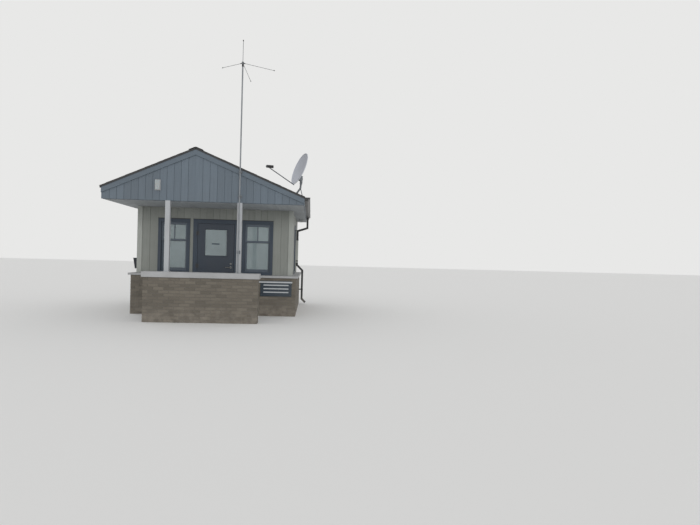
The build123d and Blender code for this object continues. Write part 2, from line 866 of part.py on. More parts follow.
vertex = dish_centre - look * (dish_sag + dish_thickness)
dish_mast_x = dish_x + dish_mast_offset
dish_mast_y = vertex.Y
dish_mast_top = dish_centre.Z - dish_mast_drop
leg_x = fascia_x - dish_leg_inset
leg_z = roof_top(leg_x) + dish_foot_thickness / 2
bend_z = leg_z + dish_leg_slope * (dish_mast_x - leg_x)
mast_elbow = Vector(dish_mast_x, dish_mast_y, bend_z)
mast_head = Vector(dish_mast_x + dish_mast_lean, dish_mast_y, dish_mast_top)
mast_line = FilletPolyline(
    (leg_x, dish_mast_y, leg_z),
    mast_elbow,
    mast_head,
    radius=dish_bend_radius,
)
mast_section = Plane(origin=mast_line @ 0, z_dir=mast_line % 0) * Circle(dish_mast_radius)
dish_mount = sweep(mast_section, path=mast_line)
under_roof = Plane(origin=(leg_x, dish_mast_y, roof_top(leg_x)), z_dir=(-right_pitch, 0, -1))
dish_mount -= extrude(under_roof * Circle(dish_foot_size / 2), amount=dish_foot_size)
dish_mount += roof_foot(leg_x, dish_mast_y, dish_foot_size)
strut_x = fascia_x - dish_strut_inset
strut_foot = Vector(strut_x, dish_mast_y, roof_top(strut_x) + dish_foot_thickness)
strut_head = Vector(dish_mast_x, dish_mast_y, bend_z + dish_strut_rise)
dish_mount += rod(strut_foot, strut_head, dish_strut_radius)
dish_mount += roof_foot(strut_x, dish_mast_y, dish_strut_foot)
clamp_foot = mast_head - (mast_head - mast_elbow).normalized() * dish_clamp_height
dish_mount += rod(clamp_foot, mast_head, dish_mast_radius + dish_clamp_wall)
bracket_shape = Pos(0, -dish_bracket_drop, -dish_bracket_depth) * RectangleRounded(
    dish_bracket_width, dish_bracket_height, dish_bracket_corner
)
bracket = extrude(dish_plane * bracket_shape, amount=dish_bracket_depth)
bracket -= dish_plane * Pos(bowl_centre) * Sphere(bowl_radius + dish_thickness + dish_seat_gap)
keep("dish_mount", dish_mount + bracket)


# Arm from under the bowl to the receiver at its focus
focus = dish_centre + look * dish_focus - rise * dish_focus_drop
arm_lean = (dish_radius - dish_focus_drop) / dish_focus
arm_seat = (dish_rim + arm_radius + dish_seat_gap) * sqrt(1 + arm_lean**2) + dish_seat_gap
rim_foot = dish_centre - rise * (dish_radius + arm_seat)
arm = rod(rim_foot, focus - rise * receiver_radius, arm_radius)
arm += Pos(rim_foot) * Sphere(arm_radius)
gaze = (dish_centre - focus).normalized()
receiver_start = focus - gaze * receiver_length / 2
arm += rod(receiver_start, focus + gaze * receiver_length / 2, receiver_radius)
keep("dish_arm", arm)


# Antenna mast on the knee wall's cap, held to the post and to the gable
keep("antenna_mast", rod((mast_x, mast_y, knee_top), (mast_x, mast_y, mast_top), mast_radius))


def mast_bracket(height, face):
    """A plate on a face behind the mast, with an arm and a ring that holds the mast."""
    low = height - bracket_height / 2
    high = height + bracket_height / 2
    side = bracket_plate_width / 2
    held = block(
        mast_x - side,
        mast_x + side,
        face - bracket_plate_thickness,
        face,
        height - bracket_plate_height / 2,
        height + bracket_plate_height / 2,
    )
    arm_side = bracket_arm / 2
    arm_end = face - bracket_plate_thickness / 2
    held += block(mast_x - arm_side, mast_x + arm_side, mast_y, arm_end, low, high)
    held += rod((mast_x, mast_y, low), (mast_x, mast_y, high), bracket_radius)
    bore_radius = mast_radius + bracket_clearance
    return held - rod((mast_x, mast_y, low - cut_over), (mast_x, mast_y, high + cut_over), bore_radius)


rake_middle = roof_under(mast_x) - rake_depth / 2
keep(
    "mast_brackets",
    mast_bracket(knee_top + post_bracket_rise, post_y - post_size / 2),
    mast_bracket(soffit_height + gable_bracket_rise, gable_front),
    mast_bracket(rake_middle, rake_front),
)


# Antenna: a hub on the mast's top with a whip, and drooping radials round it
hub_top = mast_top + hub_height
hub = rod((mast_x, mast_y, mast_top), (mast_x, mast_y, hub_top), hub_radius)
hub = chamfer(hub.edges(), hub_edge)
whip = rod((mast_x, mast_y, hub_top), (mast_x, mast_y, hub_top + whip_length), whip_radius)
keep("antenna_whip", hub + whip)
root = Vector(mast_x, mast_y, mast_top + hub_height / 2)
droop = radians(radial_droop)
radials = []
for quarter, length in enumerate((radial_length, radial_length, short_radial_length)):
    angle = radians(radial_turn + 90 * quarter)
    way = Vector(cos(angle) * cos(droop), sin(angle) * cos(droop), -sin(droop))
    seat = Pos(root) * Cylinder(hub_radius + radial_seat_gap, 2 * hub_height)
    radials.append(rod(root, root + way * length, radial_radius) - seat)
keep("antenna_radials", *radials)


os.makedirs("parts", exist_ok=True)
for name, shape in nodes.items():
    export_step(shape, f"parts/{name}.step")
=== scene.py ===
"""Looks of a small guard booth: brick base, board siding, shingled gable roof and its fittings."""

import json
import math

import bmesh
import bpy
import numpy as np
from bpy.props import FloatProperty, FloatVectorProperty, PointerProperty
from bpy.types import Operator, Panel, PropertyGroup
from mathutils import Matrix, Vector


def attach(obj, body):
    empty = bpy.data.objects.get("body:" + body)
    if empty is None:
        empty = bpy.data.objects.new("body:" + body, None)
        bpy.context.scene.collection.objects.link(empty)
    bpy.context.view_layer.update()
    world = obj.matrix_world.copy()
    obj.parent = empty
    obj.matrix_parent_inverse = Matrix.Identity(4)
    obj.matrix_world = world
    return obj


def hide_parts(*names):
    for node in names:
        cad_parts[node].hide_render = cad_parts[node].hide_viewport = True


bl_info = {
    "name": "Guard Booth",
    "version": (1, 0, 0),
    "blender": (4, 5, 0),
    "location": "View3D > Sidebar > Booth",
    "description": "Brickwork, boards, shingles, fittings and finishes of a guard booth",
    "category": "Object",
}

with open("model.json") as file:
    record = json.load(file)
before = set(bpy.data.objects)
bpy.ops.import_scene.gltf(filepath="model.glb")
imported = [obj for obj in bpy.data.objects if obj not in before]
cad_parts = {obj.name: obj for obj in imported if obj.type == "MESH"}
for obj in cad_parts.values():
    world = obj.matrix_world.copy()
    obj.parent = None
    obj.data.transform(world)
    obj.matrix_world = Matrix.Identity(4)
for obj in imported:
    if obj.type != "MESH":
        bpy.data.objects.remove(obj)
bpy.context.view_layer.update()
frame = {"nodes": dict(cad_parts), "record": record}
record_slots = {part["node"]: part["material_slot"] for part in frame["record"]["subparts"]}


# Places read from the frame

def points_of(node):
    """All points of a solid as an array of rows."""
    mesh = frame["nodes"][node].data
    points = np.empty(len(mesh.vertices) * 3, np.float32)
    mesh.vertices.foreach_get("co", points)
    return points.reshape(-1, 3).astype(float)


def corners(node, keep=None):
    """Lowest and highest corner of a solid, or of its points that keep picks."""
    points = points_of(node)
    if keep is not None:
        points = points[keep(points)]
    return points.min(0), points.max(0)


def on_right(points):
    return points[:, 0] > 0


roof_right_low, roof_right_high = corners("roof_right")
roof_left_low = corners("roof_left")[0]
gable_low, gable_high = corners("front_gable")
door_frame_low, door_frame_high = corners("door_frame")
leaf_low, leaf_high = corners("door_leaf")

ROOM_X, ROOM_Y, _ = corners("back_wall")[1]
SILL_X, _, SILL_TOP = corners("base_sill_back")[1]
SOFFIT = gable_low[2]
RIDGE_X = roof_right_low[0]
RIDGE_Z = roof_right_high[2]
edge_low, edge_high = corners("roof_right", lambda p: p[:, 0] > roof_right_high[0] - 0.001)
ROOF_DROP = edge_high[2] - edge_low[2]
RUN = {-1: RIDGE_X - roof_left_low[0], 1: roof_right_high[0] - RIDGE_X}
PITCH = {
    -1: (RIDGE_Z - ROOF_DROP - roof_left_low[2]) / RUN[-1],
    1: (RIDGE_Z - ROOF_DROP - roof_right_low[2]) / RUN[1],
}
ROOF_FRONT = roof_right_low[1]
ROOF_BACK = roof_right_high[1]
DOOR_SIDE = door_frame_high[0]
DOOR_HEAD = door_frame_high[2]
DOOR_FACE = door_frame_low[1]
PIPE_JOINT_TOP = SOFFIT - 0.58
PIPE_JOINT_FOOT = SILL_TOP + 0.27


def pitch_at(x):
    return np.where(x < RIDGE_X, PITCH[-1], PITCH[1])


def roof_height(x):
    """Height of the roof's surface over x."""
    return RIDGE_Z - pitch_at(x) * np.abs(x - RIDGE_X)


# Sizes and colours that can be changed in the sidebar

def size(name, text, default):
    return FloatProperty(
        name=name, description=text, default=default, min=0.0001, unit="LENGTH", precision=4
    )


def number(name, text, default):
    return FloatProperty(name=name, description=text, default=default)


def angle(name, text, degrees):
    return FloatProperty(name=name, description=text, default=math.radians(degrees), subtype="ANGLE")


def colour(name, text, red, green, blue):
    """A colour given by its three screen values from 0 to 255."""
    screen = np.array([red, green, blue]) / 255
    light = np.where(screen <= 0.04045, screen / 12.92, ((screen + 0.055) / 1.055) ** 2.4)
    return FloatVectorProperty(
        name=name, description=text, default=tuple(light), size=3, min=0, max=1, subtype="COLOR"
    )


class BoothSizes(PropertyGroup):
    brick_length: size("Brick length", "Length of a brick with its joint", 0.213)
    brick_course: size("Course", "Height of a course of bricks with its joint", 0.067)
    mortar_joint: size("Mortar joint", "Width of the mortar joints", 0.010)
    mortar_depth: size("Mortar depth", "How far the mortar lies behind the bricks' faces", 0.006)
    brick_edge: size("Brick edge", "Worn edge of each brick", 0.003)
    board_pitch: size("Board pitch", "Distance between the grooves of the siding", 0.152)
    board_groove: size("Board groove", "Width of the grooves of the siding", 0.009)
    board_relief: size("Board relief", "Thickness of the siding boards over the wall", 0.005)
    soffit_pitch: size("Soffit pitch", "Distance between the grooves of the soffit", 0.100)
    soffit_groove: size("Soffit groove", "Width of the grooves of the soffit", 0.006)
    shingle_exposure: size("Shingle exposure", "Height of a course of shingles that shows", 0.143)
    shingle_thickness: size("Shingle thickness", "Thickness of one layer of shingle", 0.003)
    shingle_overhang: size("Shingle overhang", "How far shingles pass the roof's edges", 0.008)
    tab_shortest: size("Shortest tab", "Shortest raised tab of a shingle", 0.11)
    tab_longest: size("Longest tab", "Longest raised tab of a shingle", 0.29)
    window_bar: size("Window bar", "Width of the bar in each upper sash", 0.022)
    glazing_bead: size("Glazing bead", "Width of the bead round each pane", 0.009)
    sheet_metal: size("Sheet metal", "Thickness of flashings and straps", 0.0015)
    screw: size("Screw", "Radius of the screw heads", 0.0045)


class BoothColours(PropertyGroup):
    brick: colour("Brick", "Middle tone of the bricks", 105, 99, 90)
    brick_light: colour("Light brick", "Lightest bricks", 114, 108, 98)
    brick_dark: colour("Dark brick", "Darkest bricks", 94, 89, 81)
    mortar: colour("Mortar", "Mortar between the bricks", 112, 108, 101)
    precast: colour("Precast", "Sill and cap of precast concrete", 168, 169, 170)
    concrete: colour("Concrete", "Floor slab", 160, 157, 150)
    siding: colour("Siding", "Boards of the walls", 139, 142, 137)
    # Darker than the siding: painted shade in the grooves between the boards.
    siding_shaded_groove: colour("Siding groove", "Grooves between the boards", 117, 120, 115)
    gable: colour("Gable", "Boards of the gables", 100, 111, 121)
    # Darker than the gable boards: painted shade in the grooves between them.
    gable_shaded_groove: colour("Gable groove", "Grooves of the gables", 88, 98, 107)
    corner: colour("Corner boards", "Boards on the corners", 159, 162, 157)
    trim: colour("Trim", "Window casings and door frame", 58, 68, 80)
    sash: colour("Sash", "Window sashes", 86, 95, 105)
    door: colour("Door", "Door leaf", 54, 62, 73)
    roof_trim: colour("Roof trim", "Rake boards and fascias", 93, 104, 114)
    soffit: colour("Soffit", "Panels under the eaves", 162, 167, 171)
    shingle: colour("Shingle", "Middle tone of the shingles", 66, 65, 66)
    gutter: colour("Gutter", "Gutter and the bends of the downspout", 50, 51, 52)
    post: colour("Post", "Porch posts", 167, 170, 173)
    lining: colour("Lining", "Walls and ceiling inside", 206, 203, 195)
    galvanised: colour("Galvanised", "Dish mount and brackets", 128, 132, 136)
    mast: colour("Mast", "Dull pipe of the antenna mast", 138, 142, 146)
    dish: colour("Dish", "Bowl of the dish", 190, 194, 203)
    plate: colour("Plate", "Plate on the brick", 54, 63, 72)
    plate_bar: colour("Plate bars", "Pale bars on the plate", 186, 190, 193)
    # The panes' pale colour is a painted reflection of the bright surroundings, not a tint of the glass.
    glass: colour("Glass", "Tint of the panes", 186, 202, 205)
    notice: colour("Notice", "Paper behind the door's pane", 150, 158, 160)
    floor: colour("Studio floor", "Floor and background of the studio", 232, 232, 231)


class BoothStage(PropertyGroup):
    camera_x: number("Camera X", "Camera to the right of the middle", 2.289)
    camera_y: number("Camera Y", "Camera in front of the room", -14.73)
    camera_height: number("Camera height", "Height of the lens", 1.42)
    camera_turn: angle("Turn", "Turn to the right", 4.3)
    camera_dip: angle("Dip", "Tilt down", 0.33)
    camera_roll: angle("Roll", "Lean of the camera to the left", 1.5)
    focal_length: number("Focal length", "Lens in millimetres", 27.0)
    sky_light: number("Sky light", "Strength of the even light", 0.76)
    sun_light: number("Key light", "Strength of the soft key light", 1.2)


# Surfaces

class Surface:
    """Gathers points and faces for one piece, and turns them into a mesh that rides on a body."""

    def __init__(self):
        self.points = []
        self.faces = []
        self.tones = []
        self.count = 0

    def add(self, points, faces, tone=0.5):
        """Adds points of shape (n, 3), faces as rows of indices, and a tone per point or for all."""
        points = np.asarray(points, float).reshape(-1, 3)
        self.points.append(points)
        self.tones.append(np.broadcast_to(np.asarray(tone, float), (len(points),)))
        self.faces += [[index + self.count for index in face] for face in faces]
        self.count += len(points)

    def piece(self, name, finish, slot, body="booth", smooth=35):
        mesh = bpy.data.meshes.new(name)
        mesh.from_pydata(np.concatenate(self.points).tolist(), [], self.faces)
        shape = bmesh.new()
        shape.from_mesh(mesh)
        bmesh.ops.recalc_face_normals(shape, faces=shape.faces)
        shape.to_mesh(mesh)
        shape.free()
        tone = mesh.attributes.new("tone", "FLOAT", "POINT")
        tone.data.foreach_set("value", np.concatenate(self.tones).astype(np.float32))
        mesh.shade_smooth()
        mesh.set_sharp_from_angle(angle=math.radians(smooth))
        mesh.materials.append(finish_of(finish))
        obj = bpy.data.objects.new(name, mesh)
        bpy.context.scene.collection.objects.link(obj)
        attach(obj, body)
        return obj


SIGNS = np.array([[x, y, z] for x in (-1, 1) for y in (-1, 1) for z in (-1, 1)], float)


def cut_box_faces():
    """Faces of a box with cut edges: six sides, twelve edge strips and eight corners.

    Point 3c + a is corner c's point that lies on the side across axis a.
    """
    index = {tuple(sign): c for c, sign in enumerate(SIGNS.astype(int).tolist())}
    faces = []
    for a in range(3):
        b, c = [axis for axis in range(3) if axis != a]
        for side in (-1, 1):
            ring = []
            for one, two in ((-1, -1), (1, -1), (1, 1), (-1, 1)):
                sign = [0, 0, 0]
                sign[a], sign[b], sign[c] = side, one, two
                ring.append(3 * index[tuple(sign)] + a)
            faces.append(ring)
    for along in range(3):
        a, b = [axis for axis in range(3) if axis != along]
        for one in (-1, 1):
            for two in (-1, 1):
                low = [0, 0, 0]
                low[along], low[a], low[b] = -1, one, two
                high = list(low)
                high[along] = 1
                c0, c1 = index[tuple(low)], index[tuple(high)]
                faces.append([3 * c0 + a, 3 * c1 + a, 3 * c1 + b, 3 * c0 + b])
    faces += [[3 * c, 3 * c + 1, 3 * c + 2] for c in range(8)]
    return faces


CUT_BOX = cut_box_faces()


def add_boxes(surface, low, high, edge, tone=0.5, bend=None):
    """Many boxes with cut edges at once, from rows of lowest and highest corners.

    Each corner gives three points: centre + sign * (half size - edge on two of the three axes).
    bend maps all points, of shape (n, 24, 3), to their final places.
    """
    low = np.atleast_2d(np.asarray(low, float))
    high = np.atleast_2d(np.asarray(high, float))
    half = (high - low) / 2
    edge = np.minimum(edge, 0.45 * half.min(1))[:, None, None, None]
    reach = half[:, None, None, :] - edge * (1 - np.eye(3))[None, None]
    points = ((low + high) / 2)[:, None, None, :] + SIGNS[None, :, None, :] * reach
    points = points.reshape(len(low), 24, 3)
    if bend is not None:
        points = bend(points)
    starts = 24 * np.arange(len(low))
    faces = [[start + index for index in face] for start in starts for face in CUT_BOX]
    tone = np.broadcast_to(np.asarray(tone, float), (len(low),))
    surface.add(points, faces, np.repeat(tone, 24))


def add_grid(surface, grid, close_u=False, close_v=False, tone=0.5):
    """A surface given as a grid of points (u, v, 3); a closed direction joins its last row to the first."""
    rows, columns = grid.shape[:2]
    u = np.arange(rows if close_u else rows - 1)
    v = np.arange(columns if close_v else columns - 1)
    uu, vv = np.meshgrid(u, v, indexing="ij")
    next_u = (uu + 1) % rows
    next_v = (vv + 1) % columns
    quads = np.stack(
        [uu * columns + vv, next_u * columns + vv, next_u * columns + next_v, uu * columns + next_v], -1
    ).reshape(-1, 4)
    faces = quads.tolist()
    if close_v and not close_u:
        faces.append(list(range(columns)))
        faces.append(list(range((rows - 1) * columns, rows * columns)))
    surface.add(grid, faces, tone)


def add_band(surface, outline, start, end, place=None, tone=0.5):
    """A closed outline in two dimensions, carried straight from start to end along the first axis."""
    outline = np.asarray(outline, float)
    grid = np.empty((2, len(outline), 3))
    grid[:, :, 1:] = outline[None]
    grid[:, :, 0] = np.array([start, end])[:, None]
    if place is not None:
        grid = place(grid)
    add_grid(surface, grid, close_v=True, tone=tone)


def add_mitred_frame(surface, x0, x1, z0, z1, section, place, tone=0.5):
    """A section carried round a rectangle with mitred corners.

    Each section point (inset, depth) lies at the rectangle's corner drawn in by inset, at Y = depth.
    """
    section = np.asarray(section, float)
    corner = np.array([[x0, z0], [x1, z0], [x1, z1], [x0, z1]])
    inward = np.array([[1, 1], [-1, 1], [-1, -1], [1, -1]])
    flat = corner[:, None, :] + inward[:, None, :] * section[None, :, :1]
    depth = np.broadcast_to(section[None, :, 1], flat.shape[:2])
    grid = np.stack([flat[..., 0], depth, flat[..., 1]], -1)
    add_grid(surface, place(grid), close_u=True, close_v=True, tone=tone)


def add_turned(surface, profile, centre, axis, sides=16, tone=0.5):
    """A turned shape: profile rows (radius, distance) spun about an axis through a centre.

    Point (i, j) is centre + distance_j * axis + radius_j * (cos t_i * a + sin t_i * b).
    """
    profile = np.asarray(profile, float)
    axis = np.asarray(axis, float) / np.linalg.norm(axis)
    helper = np.array([0.0, 0.0, 1.0]) if abs(axis[2]) < 0.9 else np.array([1.0, 0.0, 0.0])
    a = np.cross(axis, helper)
    a /= np.linalg.norm(a)
    b = np.cross(axis, a)
    turn = np.linspace(0, 2 * math.pi, sides, endpoint=False)
    ring = np.cos(turn)[:, None] * a + np.sin(turn)[:, None] * b
    grid = np.asarray(centre, float) + profile[:, None, 1:] * axis + profile[:, None, :1] * ring[None]
    add_grid(surface, grid, close_v=True, tone=tone)


def add_bolt(surface, centre, axis, radius):
    """A six-sided bolt head on a round washer."""
    washer, head = [(1.7, 0), (1.7, 0.12)], [(1, 0.1), (1, 0.75), (0.86, 0.9)]
    add_turned(surface, radius * np.array(washer), centre, axis, sides=20)
    add_turned(surface, radius * np.array(head), centre, axis, sides=6)


def add_screw(surface, centre, axis, radius):
    """A low domed screw head."""
    profile = radius * np.array([(1, -0.2), (1, 0.1), (0.75, 0.3), (0.3, 0.4)])
    add_turned(surface, profile, centre, axis, sides=12)


def standing(x=0.0, y=0.0, turn=0.0):
    """Places a part that was drawn at the middle of a wall facing -Y: turned about Z, then moved."""
    cos, sin = math.cos(math.radians(turn)), math.sin(math.radians(turn))

    def move(points):
        px, py, pz = points[..., 0], points[..., 1], points[..., 2]
        return np.stack([cos * px - sin * py + x, sin * px + cos * py + y, pz], -1)

    return move


def same(points):
    return points


def around(across, along):
    """The four corners of a rectangle, as steps from its middle."""
    return [(x, y) for x in (-across, across) for y in (-along, along)]


UP = (0, 0, 1)
TO_FRONT = (0, -1, 0)
TO_RIGHT = (1, 0, 0)


# Node groups that several finishes share

def new_group(name, inputs, outputs):
    """An empty shader group with its sockets: rows of name, kind and, for inputs, a default."""
    tree = bpy.data.node_groups.new(name, "ShaderNodeTree")
    for label, kind, default in inputs:
        socket = tree.interface.new_socket(name=label, in_out="INPUT", socket_type=kind)
        socket.default_value = default
    for label, kind in outputs:
        tree.interface.new_socket(name=label, in_out="OUTPUT", socket_type=kind)
    start = tree.nodes.new("NodeGroupInput")
    end = tree.nodes.new("NodeGroupOutput")
    return tree, Wiring(tree), start, end


class Wiring:
    """Short calls that add nodes to a tree and link them; values and sockets are given alike."""

    def __init__(self, tree):
        self.tree = tree

    def put(self, socket, value):
        if isinstance(value, bpy.types.NodeSocket):
            self.tree.links.new(value, socket)
        else:
            socket.default_value = value

    def fill(self, made, inputs):
        for label, value in inputs.items():
            self.put(made.inputs[label], value)
        return made

    def node(self, kind, **inputs):
        return self.fill(self.tree.nodes.new("ShaderNode" + kind), inputs)

    def place(self):
        return self.node("TexCoord").outputs["Object"]

    def scaled(self, vector, scale):
        """A position with its three directions stretched."""
        return self.node("Mapping", Vector=vector, Scale=scale).outputs["Vector"]

    def noise(self, vector, scale, detail=3.0, roughness=0.55):
        made = self.node("TexNoise", Vector=vector, Scale=scale, Detail=detail, Roughness=roughness)
        return made.outputs["Fac"]

    def math(self, operation, first, second=0.0):
        made = self.tree.nodes.new("ShaderNodeMath")
        made.operation = operation
        self.put(made.inputs[0], first)
        self.put(made.inputs[1], second)
        return made.outputs[0]

    def ramp(self, value, low, high, to_low=0.0, to_high=1.0):
        """Maps a value between two limits to two others, smoothly and clamped."""
        made = self.tree.nodes.new("ShaderNodeMapRange")
        made.interpolation_type = "SMOOTHSTEP"
        for index, part in enumerate((value, low, high, to_low, to_high)):
            self.put(made.inputs[index], part)
        return made.outputs[0]

    def blend(self, share, first, second, kind="MIX"):
        made = self.tree.nodes.new("ShaderNodeMix")
        made.data_type = "RGBA"
        made.blend_type = kind
        self.put(made.inputs[0], share)
        self.put(made.inputs[6], first)
        self.put(made.inputs[7], second)
        return made.outputs[2]

    def group(self, tree, **inputs):
        made = self.tree.nodes.new("ShaderNodeGroup")
        made.node_tree = tree
        return self.fill(made, inputs)


def weather_group():
    """Slow patches, rain streaks down the walls and splashed dust near the ground."""
    tree, wire, start, end = new_group(
        "weather",
        [
            ("Colour", "NodeSocketColor", (0.5, 0.5, 0.5, 1)),
            ("Patches", "NodeSocketFloat", 0.15),
            ("Streaks", "NodeSocketFloat", 0.15),
            ("Dust", "NodeSocketFloat", 0.3),
        ],
        [("Colour", "NodeSocketColor"), ("Mask", "NodeSocketFloat")],
    )
    place = wire.place()
    patch = wire.ramp(wire.noise(place, 1.7, 4.0), 0.35, 0.68)
    streak = wire.ramp(wire.noise(wire.scaled(place, (26, 26, 0.9)), 1.0, 4.0), 0.52, 0.78)
    height = wire.node("SeparateXYZ", Vector=place).outputs["Z"]
    low = wire.ramp(height, 0.0, 0.45, 1.0, 0.0)
    splash = wire.math("MULTIPLY", low, wire.ramp(wire.noise(place, 9.0, 5.0), 0.3, 0.7))
    splash = wire.math("MULTIPLY", splash, start.outputs["Dust"])
    shade = wire.math("MULTIPLY", patch, start.outputs["Patches"])
    drip = wire.math("MULTIPLY", streak, start.outputs["Streaks"])
    soiled = wire.math("MAXIMUM", shade, drip)
    darker = wire.blend(soiled, start.outputs["Colour"], (0.09, 0.085, 0.075, 1))
    dusty = wire.blend(splash, darker, (0.33, 0.30, 0.26, 1))
    wire.fill(end, {"Colour": dusty, "Mask": wire.math("MAXIMUM", soiled, splash)})
    return tree


def grain_group():
    """Long grain of painted boards: noise that is stretched along the board, coarse and fine."""
    tree, wire, start, end = new_group(
        "board_grain",
        [("Stretch", "NodeSocketVector", (40, 40, 2))],
        [("Grain", "NodeSocketFloat"), ("Height", "NodeSocketFloat")],
    )
    vector = wire.scaled(wire.place(), start.outputs["Stretch"])
    coarse = wire.noise(vector, 1.0, 5.0, 0.6)
    fine = wire.noise(vector, 6.0, 3.0, 0.6)
    grain = wire.ramp(coarse, 0.3, 0.7)
    wire.fill(end, {"Grain": grain, "Height": wire.math("ADD", coarse, wire.math("MULTIPLY", fine, 0.5))})
    return tree


def speckle_group():
    """Grit at a given size: fine grains, and coarser spots over them."""
    tree, wire, start, end = new_group(
        "speckle",
        [("Scale", "NodeSocketFloat", 300.0)],
        [("Fine", "NodeSocketFloat"), ("Spots", "NodeSocketFloat"), ("Height", "NodeSocketFloat")],
    )
    place = wire.place()
    fine = wire.noise(place, start.outputs["Scale"], 3.0, 0.7)
    wide = wire.noise(place, wire.math("MULTIPLY", start.outputs["Scale"], 0.22), 4.0)
    height = wire.math("ADD", fine, wire.math("MULTIPLY", wide, 0.8))
    grit, spots = wire.ramp(fine, 0.3, 0.7), wire.ramp(wide, 0.55, 0.72)
    wire.fill(end, {"Fine": grit, "Spots": spots, "Height": height})
    return tree


groups = {}


def shared(name, build):
    if name not in groups:
        groups[name] = build()
    return groups[name]


# Finishes

class Finish(Wiring):
    """A material with a principled shader, filled in by the finish's own function."""

    def __init__(self, name, roughness, metallic=0.0):
        self.material = bpy.data.materials.new(name)
        self.material.use_nodes = True
        super().__init__(self.material.node_tree)
        self.shader = self.tree.nodes["Principled BSDF"]
        self.set("Roughness", roughness)
        self.set("Metallic", metallic)

    def set(self, label, value):
        self.put(self.shader.inputs[label], value)

    def tone(self):
        """The tone that was given to each brick, board or tab."""
        made = self.tree.nodes.new("ShaderNodeAttribute")
        made.attribute_name = "tone"
        return made.outputs["Fac"]

    def grain(self, stretch):
        made = self.group(shared("grain", grain_group), Stretch=stretch)
        return made.outputs["Grain"], made.outputs["Height"]

    def speckle(self, scale):
        made = self.group(shared("speckle", speckle_group), Scale=scale)
        return made.outputs["Fine"], made.outputs["Spots"], made.outputs["Height"]

    def mixed(self, mask, share, first, second):
        """The first colour, with up to a share of the second where the mask is high."""
        return self.blend(self.math("MULTIPLY", mask, share), first, second)

    def weathered(self, colour, patches, streaks, dust):
        """Sets the base colour under its weather, and gives back the mask of the soiled places."""
        made = self.group(
            shared("weather", weather_group), Colour=colour, Patches=patches, Streaks=streaks, Dust=dust
        )
        self.set("Base Color", made.outputs["Colour"])
        return made.outputs["Mask"]

    def duller(self, mask, roughness, most):
        """Makes the soiled places rougher, by most at the worst."""
        self.set("Roughness", self.ramp(mask, 0.0, 0.4, roughness, min(1.0, roughness + most)))

    def bumped(self, height, depth, strength):
        """Adds the relief, and gives back the finish."""
        made = self.node("Bump", Height=height, Distance=depth, Strength=strength)
        self.set("Normal", made.outputs["Normal"])
        return self


def opaque(colour):
    return (*colour[:3], 1.0)


def times(colour, factor):
    return (*(min(1.0, factor * value) for value in colour[:3]), 1.0)


def brick_finish(colours):
    """Three tones from brick to brick, dark spots and pale grit."""
    finish = Finish("brick", 0.88)
    tone = finish.tone()
    fine, spots, height = finish.speckle(260.0)
    dark = finish.blend(finish.ramp(tone, 0.0, 0.5), opaque(colours.brick_dark), opaque(colours.brick))
    base = finish.blend(finish.ramp(tone, 0.5, 1.0), dark, opaque(colours.brick_light))
    base = finish.mixed(spots, 0.35, base, times(colours.brick_dark, 0.6))
    base = finish.mixed(fine, 0.18, base, times(colours.brick_light, 1.3))
    finish.weathered(base, 0.14, 0.10, 0.35)
    return finish.bumped(height, 0.0025, 0.7)


def gritty(name, colour, roughness, scale, relief, fine=None, spots=None, weather=None, dull=0.0):
    """One colour with fine grit and spots of given shares and factors, under its weather."""
    finish = Finish(name, roughness)
    *masks, height = finish.speckle(scale)
    base = opaque(colour)
    for mask, given in zip(masks, (fine, spots)):
        if given is not None:
            share, factor = given
            base = finish.mixed(mask, share, base, times(colour, factor))
    if weather is None:
        finish.set("Base Color", base)
    else:
        mask = finish.weathered(base, *weather)
        if dull:
            finish.duller(mask, roughness, dull)
    return finish.bumped(height, *relief)


def mortar_finish(colours):
    relief, weather = (0.002, 0.8), (0.2, 0.1, 0.4)
    return gritty("mortar", colours.mortar, 0.93, 420.0, relief, (0.5, 0.7), None, weather)


def precast_finish(colours):
    relief, weather = (0.0015, 0.5), (0.16, 0.22, 0.3)
    return gritty("precast", colours.precast, 0.78, 180.0, relief, (0.25, 0.8), (0.12, 0.45), weather)


def satin_metal(name, base_colour, roughness=0.42, streaks=0.12):
    """Painted sheet metal: faint orange peel, chalking in patches and rain marks."""
    relief, weather = (0.0004, 0.35), (0.12, streaks, 0.4)
    return gritty(name, base_colour, roughness, 220.0, relief, None, (0.08, 1.9), weather, 0.3)


def lens_finish(colours):
    """Opal plastic of the lamps, a little yellowed in spots."""
    finish = gritty("opal_lens", (0.34, 0.36, 0.37), 0.3, 60.0, (0.0004, 0.3), None, (0.2, 0.7))
    finish.set("Subsurface Weight", 0.1)
    return finish


def concrete_finish(colours):
    """Slab with the lines of a broom across it."""
    finish = Finish("concrete", 0.9)
    fine, _, height = finish.speckle(120.0)
    broom = finish.noise(finish.scaled(finish.place(), (300, 8, 8)), 1.0, 3.0)
    base = finish.mixed(fine, 0.3, opaque(colours.concrete), times(colours.concrete, 0.75))
    finish.weathered(base, 0.25, 0.05, 0.3)
    return finish.bumped(finish.math("ADD", height, broom), 0.002, 0.6)


def painted_board(name, base_colour, stretch, roughness=0.62, patches=0.12, streaks=0.16, change=0.16):
    """Painted wood: board-to-board tone, long grain that lifts the paint a little, rain streaks."""
    finish = Finish(name, roughness)
    grain, height = finish.grain(stretch)
    tone = finish.ramp(finish.tone(), 0.0, 1.0, 0.0, change)
    base = finish.blend(tone, opaque(base_colour), times(base_colour, 0.45))
    base = finish.mixed(grain, 0.22, base, times(base_colour, 0.62))
    finish.duller(finish.weathered(base, patches, streaks, 0.35), roughness, 0.2)
    return finish.bumped(height, 0.0012, 0.55)


